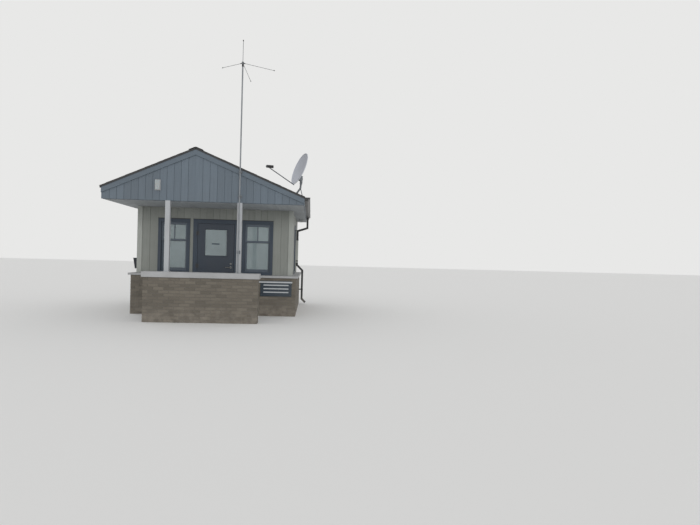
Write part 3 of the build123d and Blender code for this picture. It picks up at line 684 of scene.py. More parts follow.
def wall_finish(colours):
    """Wall solids: outside, where the boards cover them and the grooves show them, a darker colour that
    paints the shade in the grooves; a pale lining inside.
    """
    finish = Finish("wall_lining", 0.7)
    place = finish.node("SeparateXYZ", Vector=finish.place()).outputs
    x, y = (finish.math("ABSOLUTE", place[axis]) for axis in "XY")
    skin = 0.004
    outside = finish.math("GREATER_THAN", finish.math("MAXIMUM", x, y), ROOM_X - skin)
    fine, _, height = finish.speckle(90.0)
    inner = finish.mixed(fine, 0.1, opaque(colours.lining), times(colours.lining, 0.85))
    # Outside the room the wall shows only in the grooves, and its darker colour paints their shade.
    finish.set("Base Color", finish.blend(outside, inner, opaque(colours.siding_shaded_groove)))
    return finish.bumped(height, 0.001, 0.3)


def shingle_finish(colours):
    """Granules: three sizes of grit over a tone that changes from tab to tab."""
    finish = Finish("shingles", 0.95)
    shingle = colours.shingle
    tone = finish.ramp(finish.tone(), 0.0, 1.0)
    fine, spots, height = finish.speckle(520.0)
    base = finish.blend(tone, times(shingle, 0.62), times(shingle, 1.5))
    base = finish.mixed(fine, 0.45, base, times(shingle, 2.1))
    base = finish.mixed(spots, 0.5, base, times(shingle, 0.35))
    finish.weathered(base, 0.18, 0.05, 0.0)
    return finish.bumped(height, 0.0025, 0.8)


def bare_metal(name, base_colour, roughness=0.42, stretch=(60, 60, 60), metallic=0.85):
    """Bare metal: blotchy zinc or drawn lines, with dull spots."""
    finish = Finish(name, roughness, metallic)
    line = finish.noise(finish.scaled(finish.place(), stretch), 1.0, 4.0, 0.6)
    spots = finish.speckle(150.0)[1]
    share = finish.ramp(line, 0.3, 0.7, 0.0, 0.35)
    base = finish.blend(share, opaque(base_colour), times(base_colour, 0.55))
    finish.set("Base Color", finish.mixed(spots, 0.25, base, times(base_colour, 1.35)))
    finish.set("Roughness", finish.ramp(line, 0.25, 0.75, roughness - 0.08, roughness + 0.16))
    return finish.bumped(line, 0.0006, 0.3)


def downspout_finish(colours):
    """Dark bends and foot, and a straight length on the siding that is painted like the boards."""
    finish = Finish("downspout", 0.45)
    height = finish.node("SeparateXYZ", Vector=finish.place()).outputs["Z"]
    low = finish.math("GREATER_THAN", height, PIPE_JOINT_FOOT)
    high = finish.math("LESS_THAN", height, PIPE_JOINT_TOP)
    straight = finish.math("MULTIPLY", low, high)
    base = finish.blend(straight, opaque(colours.gutter), times(colours.corner, 1.05))
    finish.weathered(base, 0.12, 0.14, 0.4)
    return finish.bumped(finish.speckle(220.0)[2], 0.0004, 0.35)


def glass_finish(colours):
    """Panes: glass that lets half of the light through; the other half is a pale grey-green diffuse colour,
    a painted reflection of the bright surroundings, with a dusty film in patches.
    """
    finish = Finish("window_glass", 0.06)
    film = finish.ramp(finish.noise(finish.place(), 2.2, 3.0), 0.3, 0.7, 0.0, 0.35)
    smear = finish.noise(finish.scaled(finish.place(), (5, 5, 1.2)), 3.0, 4.0)
    # Pale base colour: painted reflection; the film darkens it in patches as dust.
    finish.set("Base Color", finish.blend(film, opaque(colours.glass), times(colours.glass, 0.7)))
    finish.set("Roughness", finish.ramp(smear, 0.35, 0.75, 0.03, 0.16))
    finish.set("Transmission Weight", 0.55)
    finish.set("IOR", 1.45)
    finish.set("Coat Weight", 0.6)
    finish.set("Coat Roughness", 0.04)
    return finish


def paper_finish(colours):
    """Plain paper, and the dark bar on it where the tone is high."""
    finish = Finish("paper", 0.8)
    fine, _, height = finish.speckle(300.0)
    sheet = finish.mixed(fine, 0.12, opaque(colours.notice), times(colours.notice, 0.8))
    marked = finish.ramp(finish.tone(), 0.6, 0.7)
    finish.set("Base Color", finish.blend(marked, sheet, times(colours.trim, 0.9)))
    return finish.bumped(height, 0.0003, 0.3)


def rubber_finish(colours):
    finish = Finish("rubber", 0.75)
    fine, _, height = finish.speckle(200.0)
    finish.set("Base Color", finish.blend(fine, (0.018, 0.018, 0.019, 1), (0.035, 0.035, 0.036, 1)))
    return finish.bumped(height, 0.0005, 0.4)


def timber_finish(colours):
    finish = Finish("timber", 0.8)
    grain, height = finish.grain((3, 60, 60))
    finish.set("Base Color", finish.blend(grain, (0.42, 0.27, 0.14, 1), (0.58, 0.41, 0.24, 1)))
    return finish.bumped(height, 0.001, 0.5)


# How much finer the grain is across the boards than along them
UPRIGHT = (46, 46, 1.6)
FRAMED = (40, 40, 2.2)
SLOPING = (2.2, 2.2, 40)
LENGTHWISE = (40, 2.0, 40)

FINISHES = {
    "brick": brick_finish,
    "mortar": mortar_finish,
    "precast": precast_finish,
    "concrete": concrete_finish,
    "siding": lambda c: painted_board("siding_paint", c.siding, UPRIGHT),
    "wall": wall_finish,
    # The solid behind the gable boards shows only in the grooves; its darker colour paints their shade.
    "gable_back": lambda c: painted_board("gable_shaded_groove_paint", c.gable_shaded_groove, UPRIGHT, 0.8),
    "gable_siding": lambda c: painted_board("gable_paint", c.gable, UPRIGHT, 0.58, 0.1, 0.14, 0.2),
    "pale_trim": lambda c: painted_board("corner_paint", c.corner, UPRIGHT),
    "dark_trim": lambda c: painted_board("trim_paint", c.trim, FRAMED, 0.48, 0.08, 0.1),
    "dark_sash": lambda c: painted_board("sash_paint", c.sash, FRAMED, 0.45, 0.08, 0.08),
    "roof_trim": lambda c: painted_board("roof_trim_paint", c.roof_trim, SLOPING, 0.5, 0.1, 0.12),
    "soffit": lambda c: painted_board("soffit_paint", c.soffit, LENGTHWISE, 0.6, 0.14, 0.0),
    "window_glass": glass_finish,
    "ceiling": lambda c: gritty("ceiling", c.lining, 0.85, 140.0, (0.001, 0.4), (0.15, 0.8)),
    "timber": timber_finish,
    "shingles": shingle_finish,
    "gutter_metal": lambda c: satin_metal("gutter_paint", c.gutter, 0.4),
    "downspout": downspout_finish,
    "post_paint": lambda c: satin_metal("post_paint", c.post, 0.45, 0.18),
    "door_paint": lambda c: satin_metal("door_paint", c.door, 0.36, 0.06),
    "box_paint": lambda c: satin_metal("box_paint", times(c.trim, 0.35), 0.5, 0.2),
    "sign_face": lambda c: satin_metal("plate_paint", c.plate, 0.4),
    "sign_bars": lambda c: satin_metal("plate_bars", c.plate_bar, 0.5),
    "dish_paint": lambda c: satin_metal("dish_paint", c.dish, 0.5, 0.2),
    "aluminium_sill": lambda c: bare_metal("ribbed_aluminium", (0.55, 0.55, 0.55), 0.35, (4, 300, 300)),
    "handle_steel": lambda c: bare_metal("satin_steel", (0.30, 0.30, 0.295), 0.34, (8, 240, 240)),
    "hinge_steel": lambda c: bare_metal("hinge_steel", (0.10, 0.102, 0.105), 0.42, (180, 180, 6)),
    "galvanised": lambda c: bare_metal("galvanised", c.galvanised, 0.5, (28, 28, 28), 0.55),
    "mast_zinc": lambda c: bare_metal("mast_zinc", c.mast, 0.55, (28, 28, 6), 0.2),
    "antenna_alloy": lambda c: bare_metal(
        "antenna_rod", times(c.galvanised, 0.75), 0.45, (90, 90, 90), 0.6
    ),
    "lamp_lens": lens_finish,
    "lamp_body": lambda c: satin_metal("lamp_body", times(c.post, 0.75), 0.5),
    "paper": paper_finish,
    "rubber": rubber_finish,
}
made_finishes = {}


def finish_of(name):
    if name not in made_finishes:
        made_finishes[name] = FINISHES[name](bpy.context.scene.booth_colours).material
    return made_finishes[name]


def sizes():
    return bpy.context.scene.booth_sizes


# Brickwork

def whole_parts(length, wanted):
    """The size near the wanted one that fills a length with whole parts."""
    return length / round(length / wanted)


def bond(length, half, started):
    """Edges of the bricks in one course, which starts and ends half a brick in if started is odd."""
    start = half if started % 2 else 0.0
    end = length - start
    edges = [start]
    while edges[-1] + 2 * half < end - 0.2 * half:
        edges.append(edges[-1] + 2 * half)
    return edges + [end]


def lay_wall(length, height, depth, place, seed, shift=0, gap=None):
    """Bricks of one wall face as rows: the two corners of a box, and a tone.

    place turns measures along the wall, into it and up into the room's axes. Brick ends are flush
    with the wall's ends and with the two edges of a gap, and half a joint short of each other.
    """
    random = np.random.default_rng(seed)
    half = whole_parts(length, sizes().brick_length) / 2
    pitch = whole_parts(height, sizes().brick_course)
    joint = sizes().mortar_joint
    shortest, uneven = 0.03, 0.0012
    flush = (0.0, length, *(gap or ()))

    def short_by(edge):
        return 0 if min(abs(edge - stop) for stop in flush) < 0.001 else joint / 2

    rows = []
    for course in range(round(height / pitch)):
        edges = bond(length, half, course + shift)
        for left, right in zip(edges[:-1], edges[1:]):
            spans = [(left, right)]
            if gap is not None:
                spans = [(left, min(right, gap[0])), (max(left, gap[1]), right)]
            for start, end in spans:
                if end - start < shortest:
                    continue
                foot, head = course * pitch + joint / 2, (course + 1) * pitch - joint / 2
                low = [start + short_by(start), random.uniform(0.0, uneven), foot]
                high = [end - short_by(end), depth, head]
                rows.append((*place(low, high), random.random()))
    return rows


def along_wall(origin, direction, inward):
    """Turns wall measures (along, in, up) into lowest and highest corners in the room's axes."""
    origin = np.array([*origin, 0.0])
    direction = np.array([*direction, 0.0])
    inward = np.array([*inward, 0.0])
    up = np.array([0.0, 0.0, 1.0])

    def place(low, high):
        ends = [origin + a * direction + b * inward + c * up for a, b, c in (low, high)]
        return np.minimum(*ends), np.maximum(*ends)

    return place


def brick_piece(name, rows, *replaced):
    """All bricks of a piece, with each point moved a little as a fired brick's edges are."""
    low, high, tone = (np.array(column) for column in zip(*rows))
    random = np.random.default_rng(len(rows))
    wear = 0.0004

    def worn(points):
        return points + random.normal(0, wear, points.shape)

    surface = Surface()
    add_boxes(surface, low, high, sizes().brick_edge, tone, worn)
    piece = surface.piece(name, "brick", "brick", smooth=25)
    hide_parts(*replaced)


def mortar_piece(name, low, high):
    mortar = Surface()
    add_boxes(mortar, low, high, edge=0.0005)
    mortar.piece(name, "mortar", "brick")


class BOOTH_OT_brickwork(Operator):
    """Lays the bricks of the base and the knee wall in running bond, with mortar behind their faces"""

    bl_idname = "booth.brickwork"
    bl_label = "Brickwork"

    def execute(self, context):
        self.base()
        self.knee_wall()
        return {"FINISHED"}

    def base(self):
        """Four walls; the side walls' bricks reach the corners where the front's and back's don't."""
        reach, _, height = corners("brick_base_back")[1]
        length = 2 * reach
        depth = whole_parts(length, sizes().brick_length) / 2 - sizes().mortar_joint
        doorway = (reach - DOOR_SIDE, reach + DOOR_SIDE)
        walls = [
            ((-reach, -reach), (1, 0), (0, 1), 0, 0, doorway),
            ((reach, -reach), (0, 1), (-1, 0), 41, 1, None),
            ((reach, reach), (-1, 0), (0, -1), 2, 0, None),
            ((-reach, reach), (0, -1), (1, 0), 43, 1, None),
        ]
        rows = []
        for corner, direction, inward, *pattern in walls:
            rows += lay_wall(length, height, depth, along_wall(corner, direction, inward), *pattern)
        brick_piece("base_bricks", rows, "brick_base_front", "brick_base_sides", "brick_base_back")
        face = reach - sizes().mortar_depth
        beds = [
            (-face, -face, -DOOR_SIDE, -ROOM_Y),
            (DOOR_SIDE, -face, face, -ROOM_Y),
            (-face, ROOM_Y, face, face),
            (-face, -ROOM_Y, -ROOM_X, ROOM_Y),
            (ROOM_X, -ROOM_Y, face, ROOM_Y),
        ]
        mortar_piece("base_mortar", [(*bed[:2], 0) for bed in beds], [(*bed[2:], height) for bed in beds])

    def knee_wall(self):
        """Two faces back to back, and bricks across the wall that close every other course's ends."""
        low, high = corners("knee_wall")
        length, height = high[0] - low[0], high[2]
        half = whole_parts(length, sizes().brick_length) / 2
        pitch = whole_parts(height, sizes().brick_course)
        joint = sizes().mortar_joint
        depth = (high[1] - low[1] - joint) / 2
        rows = lay_wall(length, height, depth, along_wall(low[:2], (1, 0), (0, 1)), 11)
        rows += lay_wall(length, height, depth, along_wall(high[:2], (-1, 0), (0, -1)), 12)
        random = np.random.default_rng(13)
        for course in range(1, round(height / pitch), 2):
            foot, head = course * pitch + joint / 2, (course + 1) * pitch - joint / 2
            for side in (-1, 1):
                ends = sorted((side * (length / 2 - half + joint / 2), side * length / 2))
                closer = [np.array([x, y, z]) for x, y, z in zip(ends, (low[1], high[1]), (foot, head))]
                rows.append((*closer, random.random()))
        brick_piece("knee_bricks", rows, "knee_wall")
        back = np.array([sizes().mortar_depth, sizes().mortar_depth, 0])
        mortar_piece("knee_mortar", low + back, high - back)


# Boards

def board_spans(start, end, pitch):
    """Left and right edges of boards of one width that fill a stretch."""
    count = max(1, round((end - start) / pitch))
    edges = np.linspace(start, end, count + 1)
    return list(zip(edges[:-1], edges[1:]))


def upright_boards(surface, start, end, bottom, top, place, holes=(), seed=5, slope=None):
    """Vertical boards on a wall that faces -Y, left out behind casings; slope cuts their tops."""
    random = np.random.default_rng(seed)
    gap = sizes().board_groove / 2
    relief = sizes().board_relief
    sunk = 0.004
    low, high, tone = [], [], []
    breaks = sorted({start, end} | {x for hole in holes for x in hole[:2]})
    for first, last in zip(breaks[:-1], breaks[1:]):
        middle = (first + last) / 2
        foot = max([bottom] + [top_of_hole for x0, x1, _, top_of_hole in holes if x0 < middle < x1])
        for left, right in board_spans(first, last, sizes().board_pitch):
            low.append((left + gap * (left > first), -relief, foot))
            high.append((right - gap * (right < last), sunk, top))
            tone.append(random.random())

    def bend(points):
        if slope is not None:
            share = (points[..., 2] - bottom) / (top - bottom)
            points = points.copy()
            points[..., 2] = bottom + share * (slope(points[..., 0]) - bottom)
        return place(points)

    add_boxes(surface, low, high, edge=0.0018, tone=tone, bend=bend)


def window_holes():
    """Casings of the windows in the front wall and at the middle of the others: x0, x1, z0, z1."""
    low, high = corners("front_window_casings", on_right)
    front = [(low[0], high[0], low[2], high[2]), (-high[0], -low[0], low[2], high[2])]
    low, high = corners("side_and_back_window_casings", lambda p: p[:, 1] > ROOM_Y - 0.2)
    side = [(low[0], high[0], low[2], high[2])]
    return front, side


class BOOTH_OT_siding(Operator):
    """Boards of the walls, the gables and the soffits"""

    bl_idname = "booth.siding"
    bl_label = "Boards"

    def execute(self, context):
        self.walls()
        self.gable("front", gable_low[1], 0)
        self.gable("back", corners("back_gable")[1][1], 180)
        self.soffits()
        return {"FINISHED"}

    def walls(self):
        """Boards of the four walls, whose outer edges lie behind the corner boards."""
        front_holes, side_holes = window_holes()
        behind_corner, under_soffit = 0.004, 0.001
        edge = corners("corner_boards", lambda p: (p[:, 0] > 0) & (p[:, 1] < 0))[0][0] + behind_corner
        door = [(-DOOR_SIDE, DOOR_SIDE, 0, DOOR_HEAD)]
        walls = [
            ("front", standing(0, -ROOM_Y), front_holes + door),
            ("right", standing(ROOM_X, 0, 90), side_holes),
            ("back", standing(0, ROOM_Y, 180), side_holes),
            ("left", standing(-ROOM_X, 0, -90), side_holes),
        ]
        for seed, (name, place, holes) in enumerate(walls, 50):
            surface = Surface()
            upright_boards(surface, -edge, edge, SILL_TOP, SOFFIT - under_soffit, place, holes, seed)
            surface.piece("siding_" + name, "siding", "siding")

    def gable(self, name, y, turn):
        """Boards on both sides of the ridge, whose tops end behind the rake boards."""
        rake_foot = corners("rake_boards", lambda p: np.abs(p[:, 0] - RIDGE_X) < 0.01)[0][2]
        rake_depth = RIDGE_Z - ROOF_DROP - rake_foot
        lowest_top = SOFFIT + 0.012
        way = 1 if turn == 0 else -1

        def slope(x):
            return np.maximum(roof_height(way * x) - ROOF_DROP - 0.4 * rake_depth, lowest_top)

        half, ridge = gable_high[0], way * RIDGE_X
        place = standing(0, y, turn)
        surface = Surface()
        for start, end in ((-half, ridge), (ridge, half)):
            upright_boards(surface, start, end, SOFFIT, RIDGE_Z, place, seed=60 + turn, slope=slope)
        surface.piece("gable_boards_" + name, "gable_siding", "gable_siding")

    def soffits(self):
        """Boards from back to front under the gables' overhangs and the eaves."""
        fields = (
            corners("gable_soffits", lambda p: p[:, 1] < 0),
            corners("gable_soffits", lambda p: p[:, 1] > 0),
            corners("eave_soffits", lambda p: p[:, 0] < 0),
            corners("eave_soffits", on_right),
        )
        gap = sizes().soffit_groove / 2
        end_gap, below, sunk = 0.001, 0.004, 0.003
        low, high = [], []
        for (x0, y0, _), (x1, y1, _) in fields:
            for left, right in board_spans(x0, x1, sizes().soffit_pitch):
                low.append((left + gap, y0 + end_gap, SOFFIT - below))
                high.append((right - gap, y1 - end_gap, SOFFIT + sunk))
        surface = Surface()
        tone = np.random.default_rng(70).random(len(low))
        add_boxes(surface, low, high, edge=0.0015, tone=tone)
        surface.piece("soffit_boards", "soffit", "soffit")


# Roof covering

def slope_place(side):
    """Turns roof measures (along the ridge, up from the eave, out of the slope) into the room's axes."""
    run, pitch = RUN[side], PITCH[side]
    slant = math.hypot(1, pitch)
    along = np.array([0.0, 1.0, 0.0])
    up = np.array([-side / slant, 0, pitch / slant])
    out = np.array([side * pitch / slant, 0, 1 / slant])
    eave = np.array([RIDGE_X + side * run, 0, RIDGE_Z - pitch * run])

    def place(points):
        return eave + points[..., :1] * along + points[..., 1:2] * up + points[..., 2:] * out

    return place, run * slant


class BOOTH_OT_roofing(Operator):
    """Shingles with raised tabs, ridge shingles, and the metal drip edge"""

    bl_idname = "booth.roofing"
    bl_label = "Roofing"

    def execute(self, context):
        self.slope(-1, "left")
        self.slope(1, "right")
        self.ridge()
        self.drip_edge()
        return {"FINISHED"}

    def slope(self, side, name):
        """Courses of shingles: a full layer in darker tones, and over it raised tabs of uneven width in
        lighter tones; the darker layer is partly painted shade at the tabs' steps.

        A point's height over the slope is its height in the shingle, plus one thickness at the
        course's lower edge that runs out to none where the next course begins.
        """
        place, length = slope_place(side)
        random = np.random.default_rng(80 + side)
        thick = sizes().shingle_thickness
        overhang = sizes().shingle_overhang
        exposure = whole_parts(length, sizes().shingle_exposure)
        end = ROOF_BACK + overhang
        lap, shortest_end, tab_gap, tab_short = 0.03, 0.06, 0.003, 0.04
        low, high, tone = [], [], []
        for course in range(round(length / exposure)):
            bottom = course * exposure - (overhang if course == 0 else 0)
            top = min(length, course * exposure + exposure + lap)
            y = ROOF_FRONT - overhang
            raised = random.random() < 0.5
            while y < end - 0.001:
                width = random.uniform(sizes().tab_shortest, sizes().tab_longest)
                stop = y + width if end - y - width > shortest_end else end
                low.append((y, bottom, 0.0))
                high.append((stop, top, thick))
                # The full layer takes the lower tones and the raised tabs the higher ones: the darker
                # backing of laminated shingles, and painted shade in the steps between the tabs.
                tone.append(0.45 * random.random())
                if raised:
                    low.append((y + tab_gap, bottom, thick))
                    high.append((stop - tab_gap, top - tab_short, 2 * thick))
                    tone.append(0.35 + 0.65 * random.random())
                raised = not raised
                y = stop
        bottoms = np.array(low)[:, 1]

        def bend(points):
            points = points.copy()
            rise = 1 - (points[..., 1] - bottoms[:, None]) / exposure
            points[..., 2] += thick * np.clip(rise, 0, 1)
            return place(points)

        surface = Surface()
        add_boxes(surface, low, high, edge=0.0008, tone=tone, bend=bend)
        surface.piece("shingles_" + name, "shingles", "shingles", smooth=20)

    def ridge(self):
        """Ridge shingles bent over the ridge, each lapping the next towards the back.

        Across the ridge, height falls as pitch * (sqrt(x * x + r * r) - r), a fold of radius about r.
        """
        low, high = corners("ridge_cap")
        overhang = sizes().shingle_overhang
        thick = 1.3 * sizes().shingle_thickness
        lift = 2.6 * sizes().shingle_thickness
        radius, lap = 0.018, 0.04
        count = round((high[1] - low[1]) / sizes().shingle_exposure)
        step = (high[1] - low[1] + overhang) / count
        across = (high[0] - low[0]) / 2 * np.linspace(-1, 1, 13)
        fall = pitch_at(RIDGE_X + across) * (np.sqrt(across**2 + radius**2) - radius)
        random = np.random.default_rng(90)
        surface = Surface()
        for index in range(count):
            front = ROOF_FRONT - overhang + index * step
            back = min(front + step + lap, ROOF_BACK + overhang)
            rows = []
            for y, rise in ((front, thick), (back, 0.0)):
                height = RIDGE_Z + lift + rise + thick - fall
                top = np.stack([RIDGE_X + across, np.full_like(across, y), height], -1)
                rows.append(np.concatenate([top, top[::-1] - np.array([0, 0, thick])]))
            add_grid(surface, np.array(rows), close_v=True, tone=random.random())
        piece = surface.piece("ridge_shingles", "shingles", "shingles", smooth=40)
        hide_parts("ridge_cap")

    def drip_edge(self):
        """Metal strip along the rakes and eaves, under the shingles' edge."""
        metal = sizes().sheet_metal
        face, face_over_gutter, under, edge = 0.028, 0.010, 0.001, 0.0004
        surface = Surface()
        for side, eave_face in ((-1, face), (1, face_over_gutter)):
            place, length = slope_place(side)
            for y0, y1 in ((ROOF_FRONT - metal, ROOF_FRONT), (ROOF_BACK, ROOF_BACK + metal)):
                add_boxes(surface, (y0, 0, -face), (y1, length, under), edge, bend=place)
            low, high = (ROOF_FRONT, -metal, -eave_face), (ROOF_BACK, 0, under)
            add_boxes(surface, low, high, edge, bend=place)
        surface.piece("drip_edge", "gutter_metal", "gutter_metal")


# Windows and door

def window_places():
    """Where the five windows stand: one place per window, drawn at the middle of a wall."""
    low, high = corners("front_window_casings", on_right)
    middle = (low[0] + high[0]) / 2
    return [
        standing(-middle, -ROOM_Y),
        standing(middle, -ROOM_Y),
        standing(-ROOM_X, 0, -90),
        standing(ROOM_X, 0, 90),
        standing(0, ROOM_Y, 180),
    ]


def add_head_cap(surface, half, top, place):
    """Sheet metal on a casing of a half width, folded down over its front."""
    metal = sizes().sheet_metal
    half += 0.006
    reach, fold, edge = 0.026, 0.012, 0.0004
    add_boxes(surface, (-half, -reach, top), (half, 0, top + metal), edge, bend=place)
    add_boxes(surface, (-half, -reach - metal, top - fold), (half, -reach, top + metal), edge, bend=place)


class BOOTH_OT_windows(Operator):
    """Bars in the upper sashes, beads round the panes, locks, and metal caps over the casings"""

    bl_idname = "booth.windows"
    bl_label = "Windows"

    def execute(self, context):
        case_low, case_high = corners("front_window_casings", on_right)
        middle = (case_low[0] + case_high[0]) / 2
        groove = 0.008
        (_, front, _), (right, back, _) = corners("front_window_glass", on_right)
        pane_half = right - middle - groove
        upper = corners("front_window_glass", lambda p: on_right(p) & (p[:, 1] < front + 0.01))
        lower = corners("front_window_glass", lambda p: on_right(p) & (p[:, 1] > back - 0.01))
        panes = [
            (low[1] + ROOM_Y, high[1] + ROOM_Y, low[2] + groove, high[2] - groove)
            for low, high in (upper, lower)
        ]
        rail = (corners("front_window_sashes", on_right)[1][1] + ROOM_Y - 0.035, panes[1][3] + 0.034)
        bars, beads, caps, locks = Surface(), Surface(), Surface(), Surface()
        for place in window_places():
            self.bar(bars, panes[0], place)
            for pane in panes:
                self.beads(beads, pane_half, pane, place)
            add_head_cap(caps, case_high[0] - middle, case_high[2], place)
            self.lock(locks, *rail, place)
        add_head_cap(caps, DOOR_SIDE, DOOR_HEAD, standing(0, -ROOM_Y))
        bars.piece("window_bars", "dark_sash", "dark_sash")
        beads.piece("window_beads", "dark_sash", "dark_sash")
        caps.piece("window_caps", "gutter_metal", "gutter_metal")
        locks.piece("sash_locks", "handle_steel", "handle_steel")
        return {"FINISHED"}

    def bar(self, surface, pane, place):
        front, back, foot, head = pane
        half, reach = sizes().window_bar / 2, 0.011
        for y0, y1 in ((front - reach, front), (back, back + reach)):
            add_boxes(surface, (-half, y0, foot), (half, y1, head), edge=0.0035, bend=place)

    def beads(self, surface, half, pane, place):
        front, back, foot, head = pane
        bead = sizes().glazing_bead
        outside = [(0, front - bead), (0, front), (bead, front), (0.3 * bead, front - bead)]
        inside = [(0, back + bead), (0.3 * bead, back + bead), (bead, back), (0, back)]
        for section in (outside, inside):
            add_mitred_frame(surface, -half, half, foot, head, section, place)

    def lock(self, surface, y, z, place):
        """A plate on the meeting rail with its round turning part."""
        thick = 0.006
        add_boxes(surface, (-0.032, y + 0.004, z), (0.032, y + 0.030, z + thick), edge=0.001, bend=place)
        centre = place(np.array([0.0, y + 0.017, z + thick]))
        add_turned(surface, [(0.013, 0), (0.013, 0.008), (0.009, 0.011)], centre, UP, sides=20)


class BOOTH_OT_door(Operator):
    """Beads and notice at the door's pane, screws of the hinges, lock cylinder, sweep and gasket"""

    bl_idname = "booth.door"
    bl_label = "Door details"

    def execute(self, context):
        self.pane()
        self.lock()
        self.hinge_screws("hinge_screws_door", "hinge_door_halves", "door")
        self.hinge_screws("hinge_screws_frame", "hinge_frame_halves", "booth")
        self.seals()
        return {"FINISHED"}

    def pane(self):
        """Beads round the pane on both sides, and a sheet of paper behind it."""
        (x0, front, z0), (x1, back, z1) = corners("door_glass")
        hold, bead = 0.010, 0.012
        outside = [(0, front - 0.018), (0, front), (bead, front), (0.5 * bead, front - 0.012)]
        inside = [(0, back + 0.014), (0.5 * bead, back + 0.010), (bead, back), (0, back)]
        beads = Surface()
        for section in (outside, inside):
            add_mitred_frame(beads, x0 + hold, x1 - hold, z0 + hold, z1 - hold, section, same)
        beads.piece("door_beads", "door_paint", "door_paint", "door")
        notice = Surface()
        paper = back + 0.0006
        low, high = (-0.155, paper, 1.600), (0.135, paper + 0.0006, 1.815)
        add_boxes(notice, low, high, edge=0.0002, tone=0.3)
        low, high = (-0.100, front - 0.0004, 1.697), (0.085, front - 0.0001, 1.722)
        add_boxes(notice, low, high, edge=0.0001, tone=1.0)
        notice.piece("door_notice", "paper", "sign_face", "door")

    def lock(self):
        """Rose and cylinder of the lock over the lever."""
        low, high = corners("door_handles")
        face = leaf_low[1]
        x, z = high[0] - 0.027, (low[2] + high[2]) / 2 + 0.085
        rose = [(0.024, 0), (0.024, 0.004), (0.021, 0.006)]
        cylinder = [(0.011, 0), (0.011, 0.007), (0.0095, 0.009)]
        steel = Surface()
        add_turned(steel, rose, (x, face + 0.008, z), TO_FRONT, sides=32)
        add_turned(steel, cylinder, (x, face + 0.004, z), TO_FRONT, sides=24)
        steel.piece("door_lock", "handle_steel", "handle_steel", "door")

    def hinge_screws(self, name, node, body):
        """Three screws in each hinge half, whose plates show at the front of the frame."""
        face = DOOR_FACE - 0.003
        from_side, from_end, step = 0.011, 0.0495, 0.036
        low, high = corners(node, lambda p: np.abs(p[:, 1] - face) < 0.0004)
        x = high[0] - from_side if body == "door" else low[0] + from_side
        foot, head = low[2].round(3), high[2].round(3)
        surface = Surface()
        for middle in (foot + from_end, (foot + head) / 2, head - from_end):
            for z in (middle - step, middle, middle + step):
                add_screw(surface, (x, face, z), TO_FRONT, 1.1 * sizes().screw)
        surface.piece(name, "hinge_steel", "hinge_steel", body)

    def seals(self):
        """Sweep along the leaf's foot, and the gasket that the leaf closes against."""
        outline = [(-0.004, 0), (-0.004, 0.030), (0.0, 0.030), (0.0, 0.0), (-0.002, -0.004)]
        outline = [(DOOR_FACE + y, leaf_low[2] + z) for y, z in outline]
        sweep = Surface()
        add_band(sweep, outline, leaf_low[0] + 0.006, leaf_high[0] - 0.006)
        sweep.piece("door_sweep", "rubber", "door_paint", "door")
        back = DOOR_FACE + 0.045
        section = [(0, back + 0.0012), (0, back + 0.006), (0.010, back + 0.006), (0.008, back + 0.002)]
        reveal = -leaf_low[0] + 0.007
        foot, head = leaf_low[2] - 0.004, leaf_high[2] + 0.006
        gasket = Surface()
        add_mitred_frame(gasket, -reveal, reveal, foot, head, section, same)
        gasket.piece("door_gasket", "rubber", "dark_trim")


# Gutter and downspout

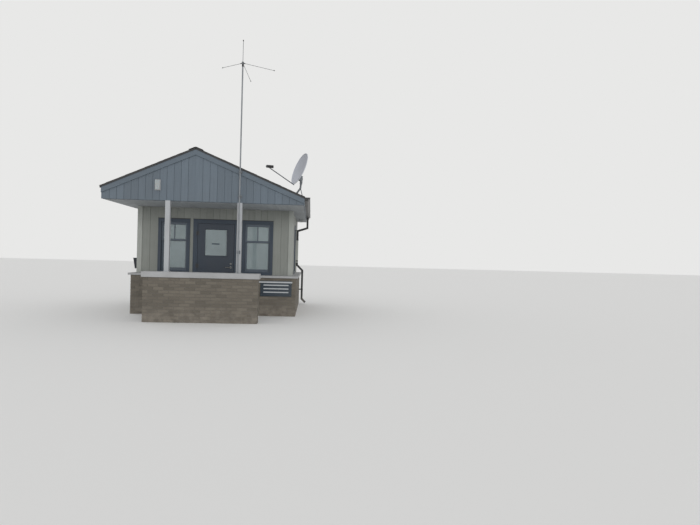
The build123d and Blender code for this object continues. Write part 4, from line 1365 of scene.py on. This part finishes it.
class BOOTH_OT_rainwater(Operator):
    """Hangers and sleeves of the gutter, collars and strap ears of the downspout, and their screws"""

    bl_idname = "booth.rainwater"
    bl_label = "Rainwater"

    def execute(self, context):
        low, high = corners("gutter_front_length")
        end_low, end_high = corners("gutter_end_length")
        seams = (high[1], corners("gutter_outlet_length")[0][1], end_low[1])
        self.hangers(low, high, end_high[1])
        self.sleeves(low, high, end_high[1], seams)
        pipe_low, pipe_high = corners("downspout")
        self.collars(low, high, pipe_low[1], pipe_high[1])
        self.ears(pipe_low[1], pipe_high[1])
        return {"FINISHED"}

    def hangers(self, low, high, end):
        """Straps across the gutter's mouth, each with a foot on the fascia and a screw."""
        back, front, top = low[0], high[0], high[2]
        metal = 2 * sizes().sheet_metal
        half, strap = 0.013, top - 0.008
        surface = Surface()
        for y in np.arange(low[1] + 0.15, end - 0.1, 0.61):
            y0, y1 = y - half, y + half
            add_boxes(surface, (back, y0, strap), (front - 0.004, y1, strap + metal), edge=0.0004)
            add_boxes(surface, (back, y0, top - 0.030), (back + metal, y1, top - 0.006), edge=0.0004)
            add_screw(surface, (back + metal, y, top - 0.020), TO_RIGHT, sizes().screw)
        surface.piece("gutter_hangers", "galvanised", "gutter_metal")

    def sleeves(self, low, high, end, seams):
        """Sleeves round the gutter's profile, over its seams and at its two ends.

        The profile has a flat bottom and a front that leans out with a bow of sin(pi * share).
        """
        (x0, start, bottom), (x1, _, top) = low, high
        flat = 0.6 * (x1 - x0)
        share = np.linspace(0, 1, 9)
        bow_x = x0 + flat + (x1 - x0 - flat) * share + 0.012 * np.sin(math.pi * share)
        bow_z = bottom + (top - 0.012 - bottom) * share
        profile = np.array([(x0, bottom), *zip(bow_x, bow_z), (x1, top)])
        centre = np.array([(x0 + x1) / 2, top])
        outer, inner = (centre + (profile - centre) * scale for scale in (1.035, 0.99))
        outer[0, 0] = inner[0, 0] = x0
        outline = np.concatenate([outer, inner[::-1]])

        def lengthwise(points):
            return np.stack([points[..., 1], points[..., 0], points[..., 2]], -1)

        half = 0.022
        spans = [(seam - half, seam + half) for seam in seams]
        spans += [(start - 0.008, start + 0.007), (end - 0.008, end + 0.009)]
        surface = Surface()
        for y0, y1 in spans:
            add_band(surface, outline, y0, y1, lengthwise)
        surface.piece("gutter_sleeves", "gutter_metal", "gutter_metal")

    def collars(self, gutter_low, gutter_high, y0, y1):
        """Collars at the downspout's joints, and one under the gutter's outlet."""
        grow, half = 0.004, 0.026
        y0, y1 = y0 - grow, y1 + grow
        on_wall = (ROOM_X + 0.010, ROOM_X + 0.070)
        on_base = (SILL_X + 0.010, SILL_X + 0.070)

        def foot(points):
            return (points[:, 2] < SILL_TOP + 0.2) & (np.abs(points[:, 0] - on_base[1]) < 0.0015)

        foot_joint = corners("downspout", foot)[1][2] - 0.060
        joints = ((on_wall, PIPE_JOINT_TOP), (on_wall, PIPE_JOINT_FOOT), (on_base, foot_joint))
        surface = Surface()
        for (x0, x1), z in joints:
            add_boxes(surface, (x0 - grow, y0, z - half), (x1 + grow, y1, z + half), edge=0.002)
        x = gutter_low[0] + 0.3 * (gutter_high[0] - gutter_low[0]) + 0.003
        bottom = gutter_low[2]
        add_boxes(surface, (x - 0.034, y0, bottom - 0.030), (x + 0.034, y1, bottom - 0.001), edge=0.002)
        surface.piece("downspout_collars", "gutter_metal", "gutter_metal")

    def ears(self, y0, y1):
        """The straps' flat ends beside the downspout, on the wall and on the base."""
        gap, ear, half = 0.003, 0.023, 0.015
        levels = sorted(set(points_of("downspout_straps")[:, 2].round(3)))
        surface = Surface()
        for foot, head in zip(levels[::2], levels[1::2]):
            z = (foot + head) / 2
            face = ROOM_X + sizes().board_relief if z > SILL_TOP else SILL_X - 0.05
            back, front = face - 0.002, face + 0.003
            for inner, side in ((y0 - gap, -1), (y1 + gap, 1)):
                near, far = sorted((inner, inner + side * ear))
                add_boxes(surface, (back, near, z - half), (front, far, z + half), edge=0.0006)
                add_screw(surface, (front, inner + side * 0.6 * ear, z), TO_RIGHT, sizes().screw)
        surface.piece("strap_ears", "gutter_metal", "gutter_metal")


# Fittings

class BOOTH_OT_fittings(Operator):
    """Plate, lamps, wall box, post bolts, dish receiver and antenna tips"""

    bl_idname = "booth.fittings"
    bl_label = "Fittings"

    def execute(self, context):
        self.plate()
        self.lamps()
        self.wall_box()
        self.bolts()
        self.receiver()
        self.dish_bolts()
        self.antenna()
        return {"FINISHED"}

    def plate(self):
        """A face and a border that reach past the plate's solid, three bars, a strip and screws."""
        (x0, face, z0), (x1, back, z1) = corners("sign_plate")
        wide = x1 + 0.058
        border = Surface()
        section = [(0, 0.004), (0, -0.004), (0.004, -0.006), (0.014, -0.006), (0.018, 0), (0.018, 0.004)]
        section = [(inward, face + depth) for inward, depth in section]
        add_mitred_frame(border, x0, wide, z0, z1, section, same)
        inset = 0.004
        low, high = (x0 + inset, face - 0.0012, z0 + inset), (wide - inset, back, z1 - inset)
        add_boxes(border, low, high, edge=0.001)
        border.piece("plate_border", "sign_face", "sign_face")
        bars = Surface()
        margin, half = 0.075, 0.013
        for drop in (0.105, 0.190, 0.275):
            z = z1 - drop
            low, high = (x0 + margin, face - 0.0032, z - half), (wide - margin, face + 0.001, z + half)
            add_boxes(bars, low, high, edge=0.0006)
        foot = z1 - 0.050
        low, high = (x0 - 0.045, face - 0.016, foot), (x1 + 0.072, face + 0.004, foot + 0.034)
        add_boxes(bars, low, high, edge=0.002)
        bars.piece("plate_bars", "sign_bars", "sign_face")
        screws = Surface()
        for x in (x0 + 0.032, wide - 0.032):
            for z in (z0 + 0.03, z1 - 0.075):
                add_screw(screws, (x, face - 0.0012, z), TO_FRONT, 1.2 * sizes().screw)
        screws.piece("plate_screws", "handle_steel", "sign_face")

    def lamps(self):
        """Back, hood and lens ribs of the gable's lamp, and the soffit lamp's ring."""
        (x0, front, z0), (x1, face, z1) = corners("gable_light")
        body = Surface()
        rim = 0.010
        add_boxes(body, (x0 - rim, face - 0.016, z0 - rim), (x1 + rim, face + 0.001, z1 + rim), edge=0.003)
        add_boxes(body, (x0 - 0.004, front + 0.012, z1 - 0.006), (x1 + 0.004, face, z1 + 0.006), edge=0.002)
        low, high = corners("soffit_lamp")
        rim = 0.006
        low, high = (*(low[:2] - rim), high[2] - 0.014), (*(high[:2] + rim), high[2] + 0.002)
        add_boxes(body, low, high, edge=0.003)
        body.piece("lamp_bodies", "lamp_body", "lamp_lens")
        ribs = Surface()
        for z in np.arange(z0 + 0.024, z1 - 0.02, 0.014):
            low, high = (x0 + 0.014, front - 0.0015, z), (x1 - 0.014, front + 0.002, z + 0.006)
            add_boxes(ribs, low, high, edge=0.0014)
        ribs.piece("lens_ribs", "lamp_lens", "lamp_lens")

    def wall_box(self):
        """Lid, door, latch and hinges of the box, whose x grows with the height below its top."""
        (x0, y0, z0), (x1, y1, z1) = corners("wall_box")
        foot = corners("wall_box", lambda p: p[:, 2] < z0 + 0.002)[0][0]
        lean = (foot - x0) / (z1 - z0)
        body = Surface()
        lip = 0.008
        add_boxes(body, (x0 - lip, y0 - lip, z1 - 0.004), (x1, y1 + lip, z1 + 0.006), edge=0.002)

        def leaning(points):
            points = points.copy()
            points[..., 0] += x0 + lean * (z1 - points[..., 2])
            return points

        inset, half = 0.018, 0.020
        low, high = (-0.004, y0 + inset, z0 + inset), (0.001, y1 - inset, z1 - inset)
        add_boxes(body, low, high, edge=0.0015, bend=leaning)
        middle = (y0 + y1) / 2
        low, high = (-0.012, middle - half, z0 + 0.035), (0.0, middle + half, z0 + 0.060)
        add_boxes(body, low, high, edge=0.0025, bend=leaning)
        for z in (z0 + 0.06, z1 - 0.06):
            hinge = (x0 + lean * (z1 - z) - 0.002, y1 - inset, z)
            add_turned(body, [(0.006, -0.022), (0.006, 0.022)], hinge, (lean, 0, -1), sides=12)
        body.piece("wall_box_door", "box_paint", "box_paint")

    def bolts(self):
        """Bolts at the feet of the posts, and four on each bracket of the mast."""
        steel = Surface()
        low, high = corners("porch_posts", on_right)
        x, y = (low[:2] + high[:2]) / 2
        reach = (high[0] - low[0]) / 2 - 0.0085
        head = [(0.0055, 0), (0.0055, 0.006), (0.0045, 0.007)]
        for side in (-1, 1):
            for dx, dy in around(reach, reach):
                add_turned(steel, head, (side * x + dx, y + dy, low[2] + 0.010), UP, sides=6)
        for foot, top in ((1.4, 1.6), (2.6, 2.8), (2.9, 3.4)):
            low, high = corners("mast_brackets", lambda p: (p[:, 2] > foot) & (p[:, 2] < top))
            x, _, z = (low + high) / 2
            for dx, dz in around(0.025, 0.026):
                add_bolt(steel, (x + dx, high[1] - 0.006, z + dz), TO_FRONT, 0.005)
        steel.piece("bracket_bolts", "galvanised", "galvanised")

    def receiver(self):
        """Horn, cap, rings and socket of the receiver, along the line between the middles of its ends."""
        arm = points_of("dish_arm")
        along = arm[:, 0] - arm[:, 0].min()
        back = arm[along < 0.025].mean(0)
        front = arm[(along > 0.12) & (along < 0.17)].mean(0)
        middle = (back + front) / 2
        reach = np.linalg.norm(front - back) / 2
        way = (front - back) / (2 * reach)
        horn = [(0.030, -0.030), (0.033, -0.006), (0.033, 0.002), (0.026, 0.0035)]
        cap = [(0.026, 0.001), (0.024, 0.006), (0.010, 0.009)]
        surface = Surface()
        for profile in (horn, cap):
            add_turned(surface, profile, front, way, sides=28)
        for start, end in ((0.006 - reach, -0.022), (-0.019, reach - 0.031)):
            add_turned(surface, [(0.031, start), (0.031, end)], middle, way, sides=28)
        add_turned(surface, [(0.007, -0.016), (0.007, 0)], back, way, sides=6)
        surface.piece("receiver_fittings", "rubber", "dish_paint")

    def dish_bolts(self):
        """Bolts of the mount's foot and strut on the roof, and of its clamp behind the bowl."""
        mount = points_of("dish_mount")
        low, high = mount.min(0), mount.max(0)
        slant = math.hypot(1, PITCH[1])
        out = np.array([PITCH[1] / slant, 0, 1 / slant])
        along = np.array([1 / slant, 0, -PITCH[1] / slant])
        across = np.array([0, 1, 0])
        middle_y = (low[1] + high[1]) / 2
        plate = 0.006

        def on_roof(x):
            return np.array([x, middle_y, roof_height(x)]) + plate * out

        bolts = Surface()
        foot = on_roof(low[0] + 0.075 / slant)
        for dx, dy in around(0.055, 0.055):
            add_bolt(bolts, foot + dx * along + dy * across, out, 0.008)
        foot = on_roof(high[0] - 0.030 / slant)
        for dy in (-0.021, 0.021):
            add_bolt(bolts, foot + dy * across, out, 0.005)
        near = mount[np.abs(mount[:, 1] - middle_y) < 0.012]
        upper = near[near[:, 2] > high[2] - 0.13]
        clamp_head = upper[upper[:, 0].argmax()]
        drop = clamp_head[2] - near[:, 2]
        lower = near[(drop > 0.12) & (drop < 0.16)]
        clamp_foot = lower[lower[:, 0].argmax()]
        run = clamp_head - clamp_foot
        outward = np.array([run[2], 0, -run[0]]) / math.hypot(run[0], run[2])
        for share in (0.22, 0.78):
            x, _, z = clamp_foot + share * run - 0.002 * outward
            for dy in (-0.012, 0.012):
                add_bolt(bolts, (x, middle_y + dy, z), outward, 0.006)
        bolts.piece("dish_bolts", "galvanised", "galvanised")

    def antenna(self):
        """Dark tips on the radials and the whip, a collar under the hub and the radials' sockets."""
        hub_low, hub_high = corners("antenna_whip")
        mast_low, mast_high = corners("antenna_mast")
        mast = (mast_high[0] - mast_low[0]) / 2
        x, y = (hub_low[:2] + hub_high[:2]) / 2
        root = np.array([x, y, hub_low[2] + 0.0275])
        ball = [(0.0045, -0.022), (0.0085, -0.018), (0.0095, -0.008), (0.0075, 0.0), (0.003, 0.0025)]
        socket = [(0.009, 0.024), (0.009, 0.052), (0.006, 0.056)]
        whip_tip = [(0.006, -0.030), (0.010, -0.025), (0.010, -0.005), (0.004, -0.0005)]
        collar = [(mast, -0.050), (mast + 0.004, -0.048), (mast + 0.004, -0.004), (mast + 0.001, 0.0)]
        rods = points_of("antenna_radials")
        surface = Surface()
        for pick in (rods[:, 0].argmax(), rods[:, 1].argmax(), rods[:, 0].argmin()):
            tip = rods[np.linalg.norm(rods - rods[pick], axis=1) < 0.0095].mean(0)
            way = (tip - root) / np.linalg.norm(tip - root)
            add_turned(surface, ball, tip, way, sides=14)
            add_turned(surface, socket, root, way, sides=14)
        add_turned(surface, whip_tip, (x, y, hub_high[2]), UP, sides=14)
        add_turned(surface, collar, (x, y, hub_low[2]), UP, sides=28)
        surface.piece("antenna_tips", "rubber", "antenna_alloy")


# Finishes of the solids, and the studio

# By slot, where boards lie over the solids, and by name, where a solid differs from its slot
BEHIND_BOARDS = {"siding": "wall", "gable_siding": "gable_back"}
SPECIAL = {"downspout": "downspout", "antenna_mast": "mast_zinc"}


class BOOTH_OT_finishes(Operator):
    """Gives every solid of the frame its finish"""

    bl_idname = "booth.finishes"
    bl_label = "Finishes"

    def execute(self, context):
        for name, obj in frame["nodes"].items():
            slot = record_slots[name]
            material = finish_of(SPECIAL.get(name, BEHIND_BOARDS.get(slot, slot)))
            obj.data.materials.clear()
            obj.data.materials.append(material)
        return {"FINISHED"}


class BOOTH_OT_stage(Operator):
    """Pale floor, even light and the camera of the photograph"""

    bl_idname = "booth.stage"
    bl_label = "Stage"

    def execute(self, context):
        stage = context.scene.booth_stage
        pale = opaque(context.scene.booth_colours.floor)
        self.floor(pale)
        self.sky(stage, pale)
        self.camera(stage)
        self.key_light(stage)
        context.scene.view_settings.view_transform = "Standard"
        return {"FINISHED"}

    def floor(self, pale):
        reach = 90.0
        mesh = bpy.data.meshes.new("studio_floor")
        ring = [(-reach, -reach, 0), (reach, -reach, 0), (reach, reach, 0), (-reach, reach, 0)]
        mesh.from_pydata(ring, [], [(0, 1, 2, 3)])
        finish = Finish("studio_floor", 0.9)
        finish.set("Base Color", pale)
        mesh.materials.append(finish.material)
        obj = bpy.data.objects.new("studio_floor", mesh)
        bpy.context.scene.collection.objects.link(obj)

    def sky(self, stage, pale):
        """Even light from all sides; the camera, gloss and glass see the pale background."""
        world = bpy.data.worlds.new("studio")
        world.use_nodes = True
        tree = world.node_tree
        tree.nodes.clear()
        wire = Wiring(tree)
        path = wire.node("LightPath").outputs
        seen = wire.math("MAXIMUM", path["Is Camera Ray"], path["Is Glossy Ray"])
        seen = wire.math("MAXIMUM", seen, path["Is Transmission Ray"])
        even = wire.node("Background", Color=(1, 1, 1, 1), Strength=stage.sky_light)
        shown = wire.node("Background", Color=pale, Strength=1.0)
        mix = tree.nodes.new("ShaderNodeMixShader")
        wire.put(mix.inputs[0], seen)
        wire.put(mix.inputs[1], even.outputs[0])
        wire.put(mix.inputs[2], shown.outputs[0])
        end = tree.nodes.new("ShaderNodeOutputWorld")
        wire.put(end.inputs["Surface"], mix.outputs[0])
        bpy.context.scene.world = world

    def camera(self, stage):
        """The view: forward from turn and dip, then the right and up directions leant by the roll."""
        turn, dip, roll = stage.camera_turn, stage.camera_dip, stage.camera_roll
        forward = Vector((math.sin(turn) * math.cos(dip), math.cos(turn) * math.cos(dip), -math.sin(dip)))
        level = Vector((math.cos(turn), -math.sin(turn), 0))
        upward = level.cross(forward)
        right = level * math.cos(roll) + upward * math.sin(roll)
        up = upward * math.cos(roll) - level * math.sin(roll)
        data = bpy.data.cameras.new("camera")
        data.lens = stage.focal_length
        data.sensor_width = 36.0
        data.clip_end = 300.0
        camera = bpy.data.objects.new("camera", data)
        axes = Matrix((right, up, -forward)).transposed().to_4x4()
        place = Matrix.Translation((stage.camera_x, stage.camera_y, stage.camera_height))
        camera.matrix_world = place @ axes
        bpy.context.scene.collection.objects.link(camera)
        bpy.context.scene.camera = camera

    def key_light(self, stage):
        """A wide soft sun that shines from the front, a little from the right and from above."""
        shining = Vector((-0.27, 1.0, -0.11))
        light = bpy.data.lights.new("key", "SUN")
        light.energy = stage.sun_light
        light.angle = math.radians(28)
        lamp = bpy.data.objects.new("key", light)
        lamp.visible_glossy = False
        lamp.rotation_euler = shining.to_track_quat("-Z", "Y").to_euler()
        bpy.context.scene.collection.objects.link(lamp)


OPERATORS = (
    BOOTH_OT_brickwork,
    BOOTH_OT_siding,
    BOOTH_OT_roofing,
    BOOTH_OT_windows,
    BOOTH_OT_door,
    BOOTH_OT_rainwater,
    BOOTH_OT_fittings,
    BOOTH_OT_finishes,
    BOOTH_OT_stage,
)


class BOOTH_PT_panel(Panel):
    """Lists the booth's pieces, sizes and colours in the sidebar"""

    bl_idname = "BOOTH_PT_panel"
    bl_label = "Guard booth"
    bl_space_type = "VIEW_3D"
    bl_region_type = "UI"
    bl_category = "Booth"

    def draw(self, context):
        for operator in OPERATORS:
            self.layout.operator(operator.bl_idname)
        for group in (context.scene.booth_sizes, context.scene.booth_colours, context.scene.booth_stage):
            box = self.layout.box()
            for name in group.__annotations__:
                box.prop(group, name)


CLASSES = (BoothSizes, BoothColours, BoothStage, *OPERATORS, BOOTH_PT_panel)


def register():
    for item in CLASSES:
        bpy.utils.register_class(item)
    bpy.types.Scene.booth_sizes = PointerProperty(type=BoothSizes)
    bpy.types.Scene.booth_colours = PointerProperty(type=BoothColours)
    bpy.types.Scene.booth_stage = PointerProperty(type=BoothStage)


def unregister():
    del bpy.types.Scene.booth_stage
    del bpy.types.Scene.booth_colours
    del bpy.types.Scene.booth_sizes
    for item in reversed(CLASSES):
        bpy.utils.unregister_class(item)


def main():
    register()
    for operator in OPERATORS:
        module, name = operator.bl_idname.split(".")
        getattr(getattr(bpy.ops, module), name)()


if __name__ == "__main__":
    main()
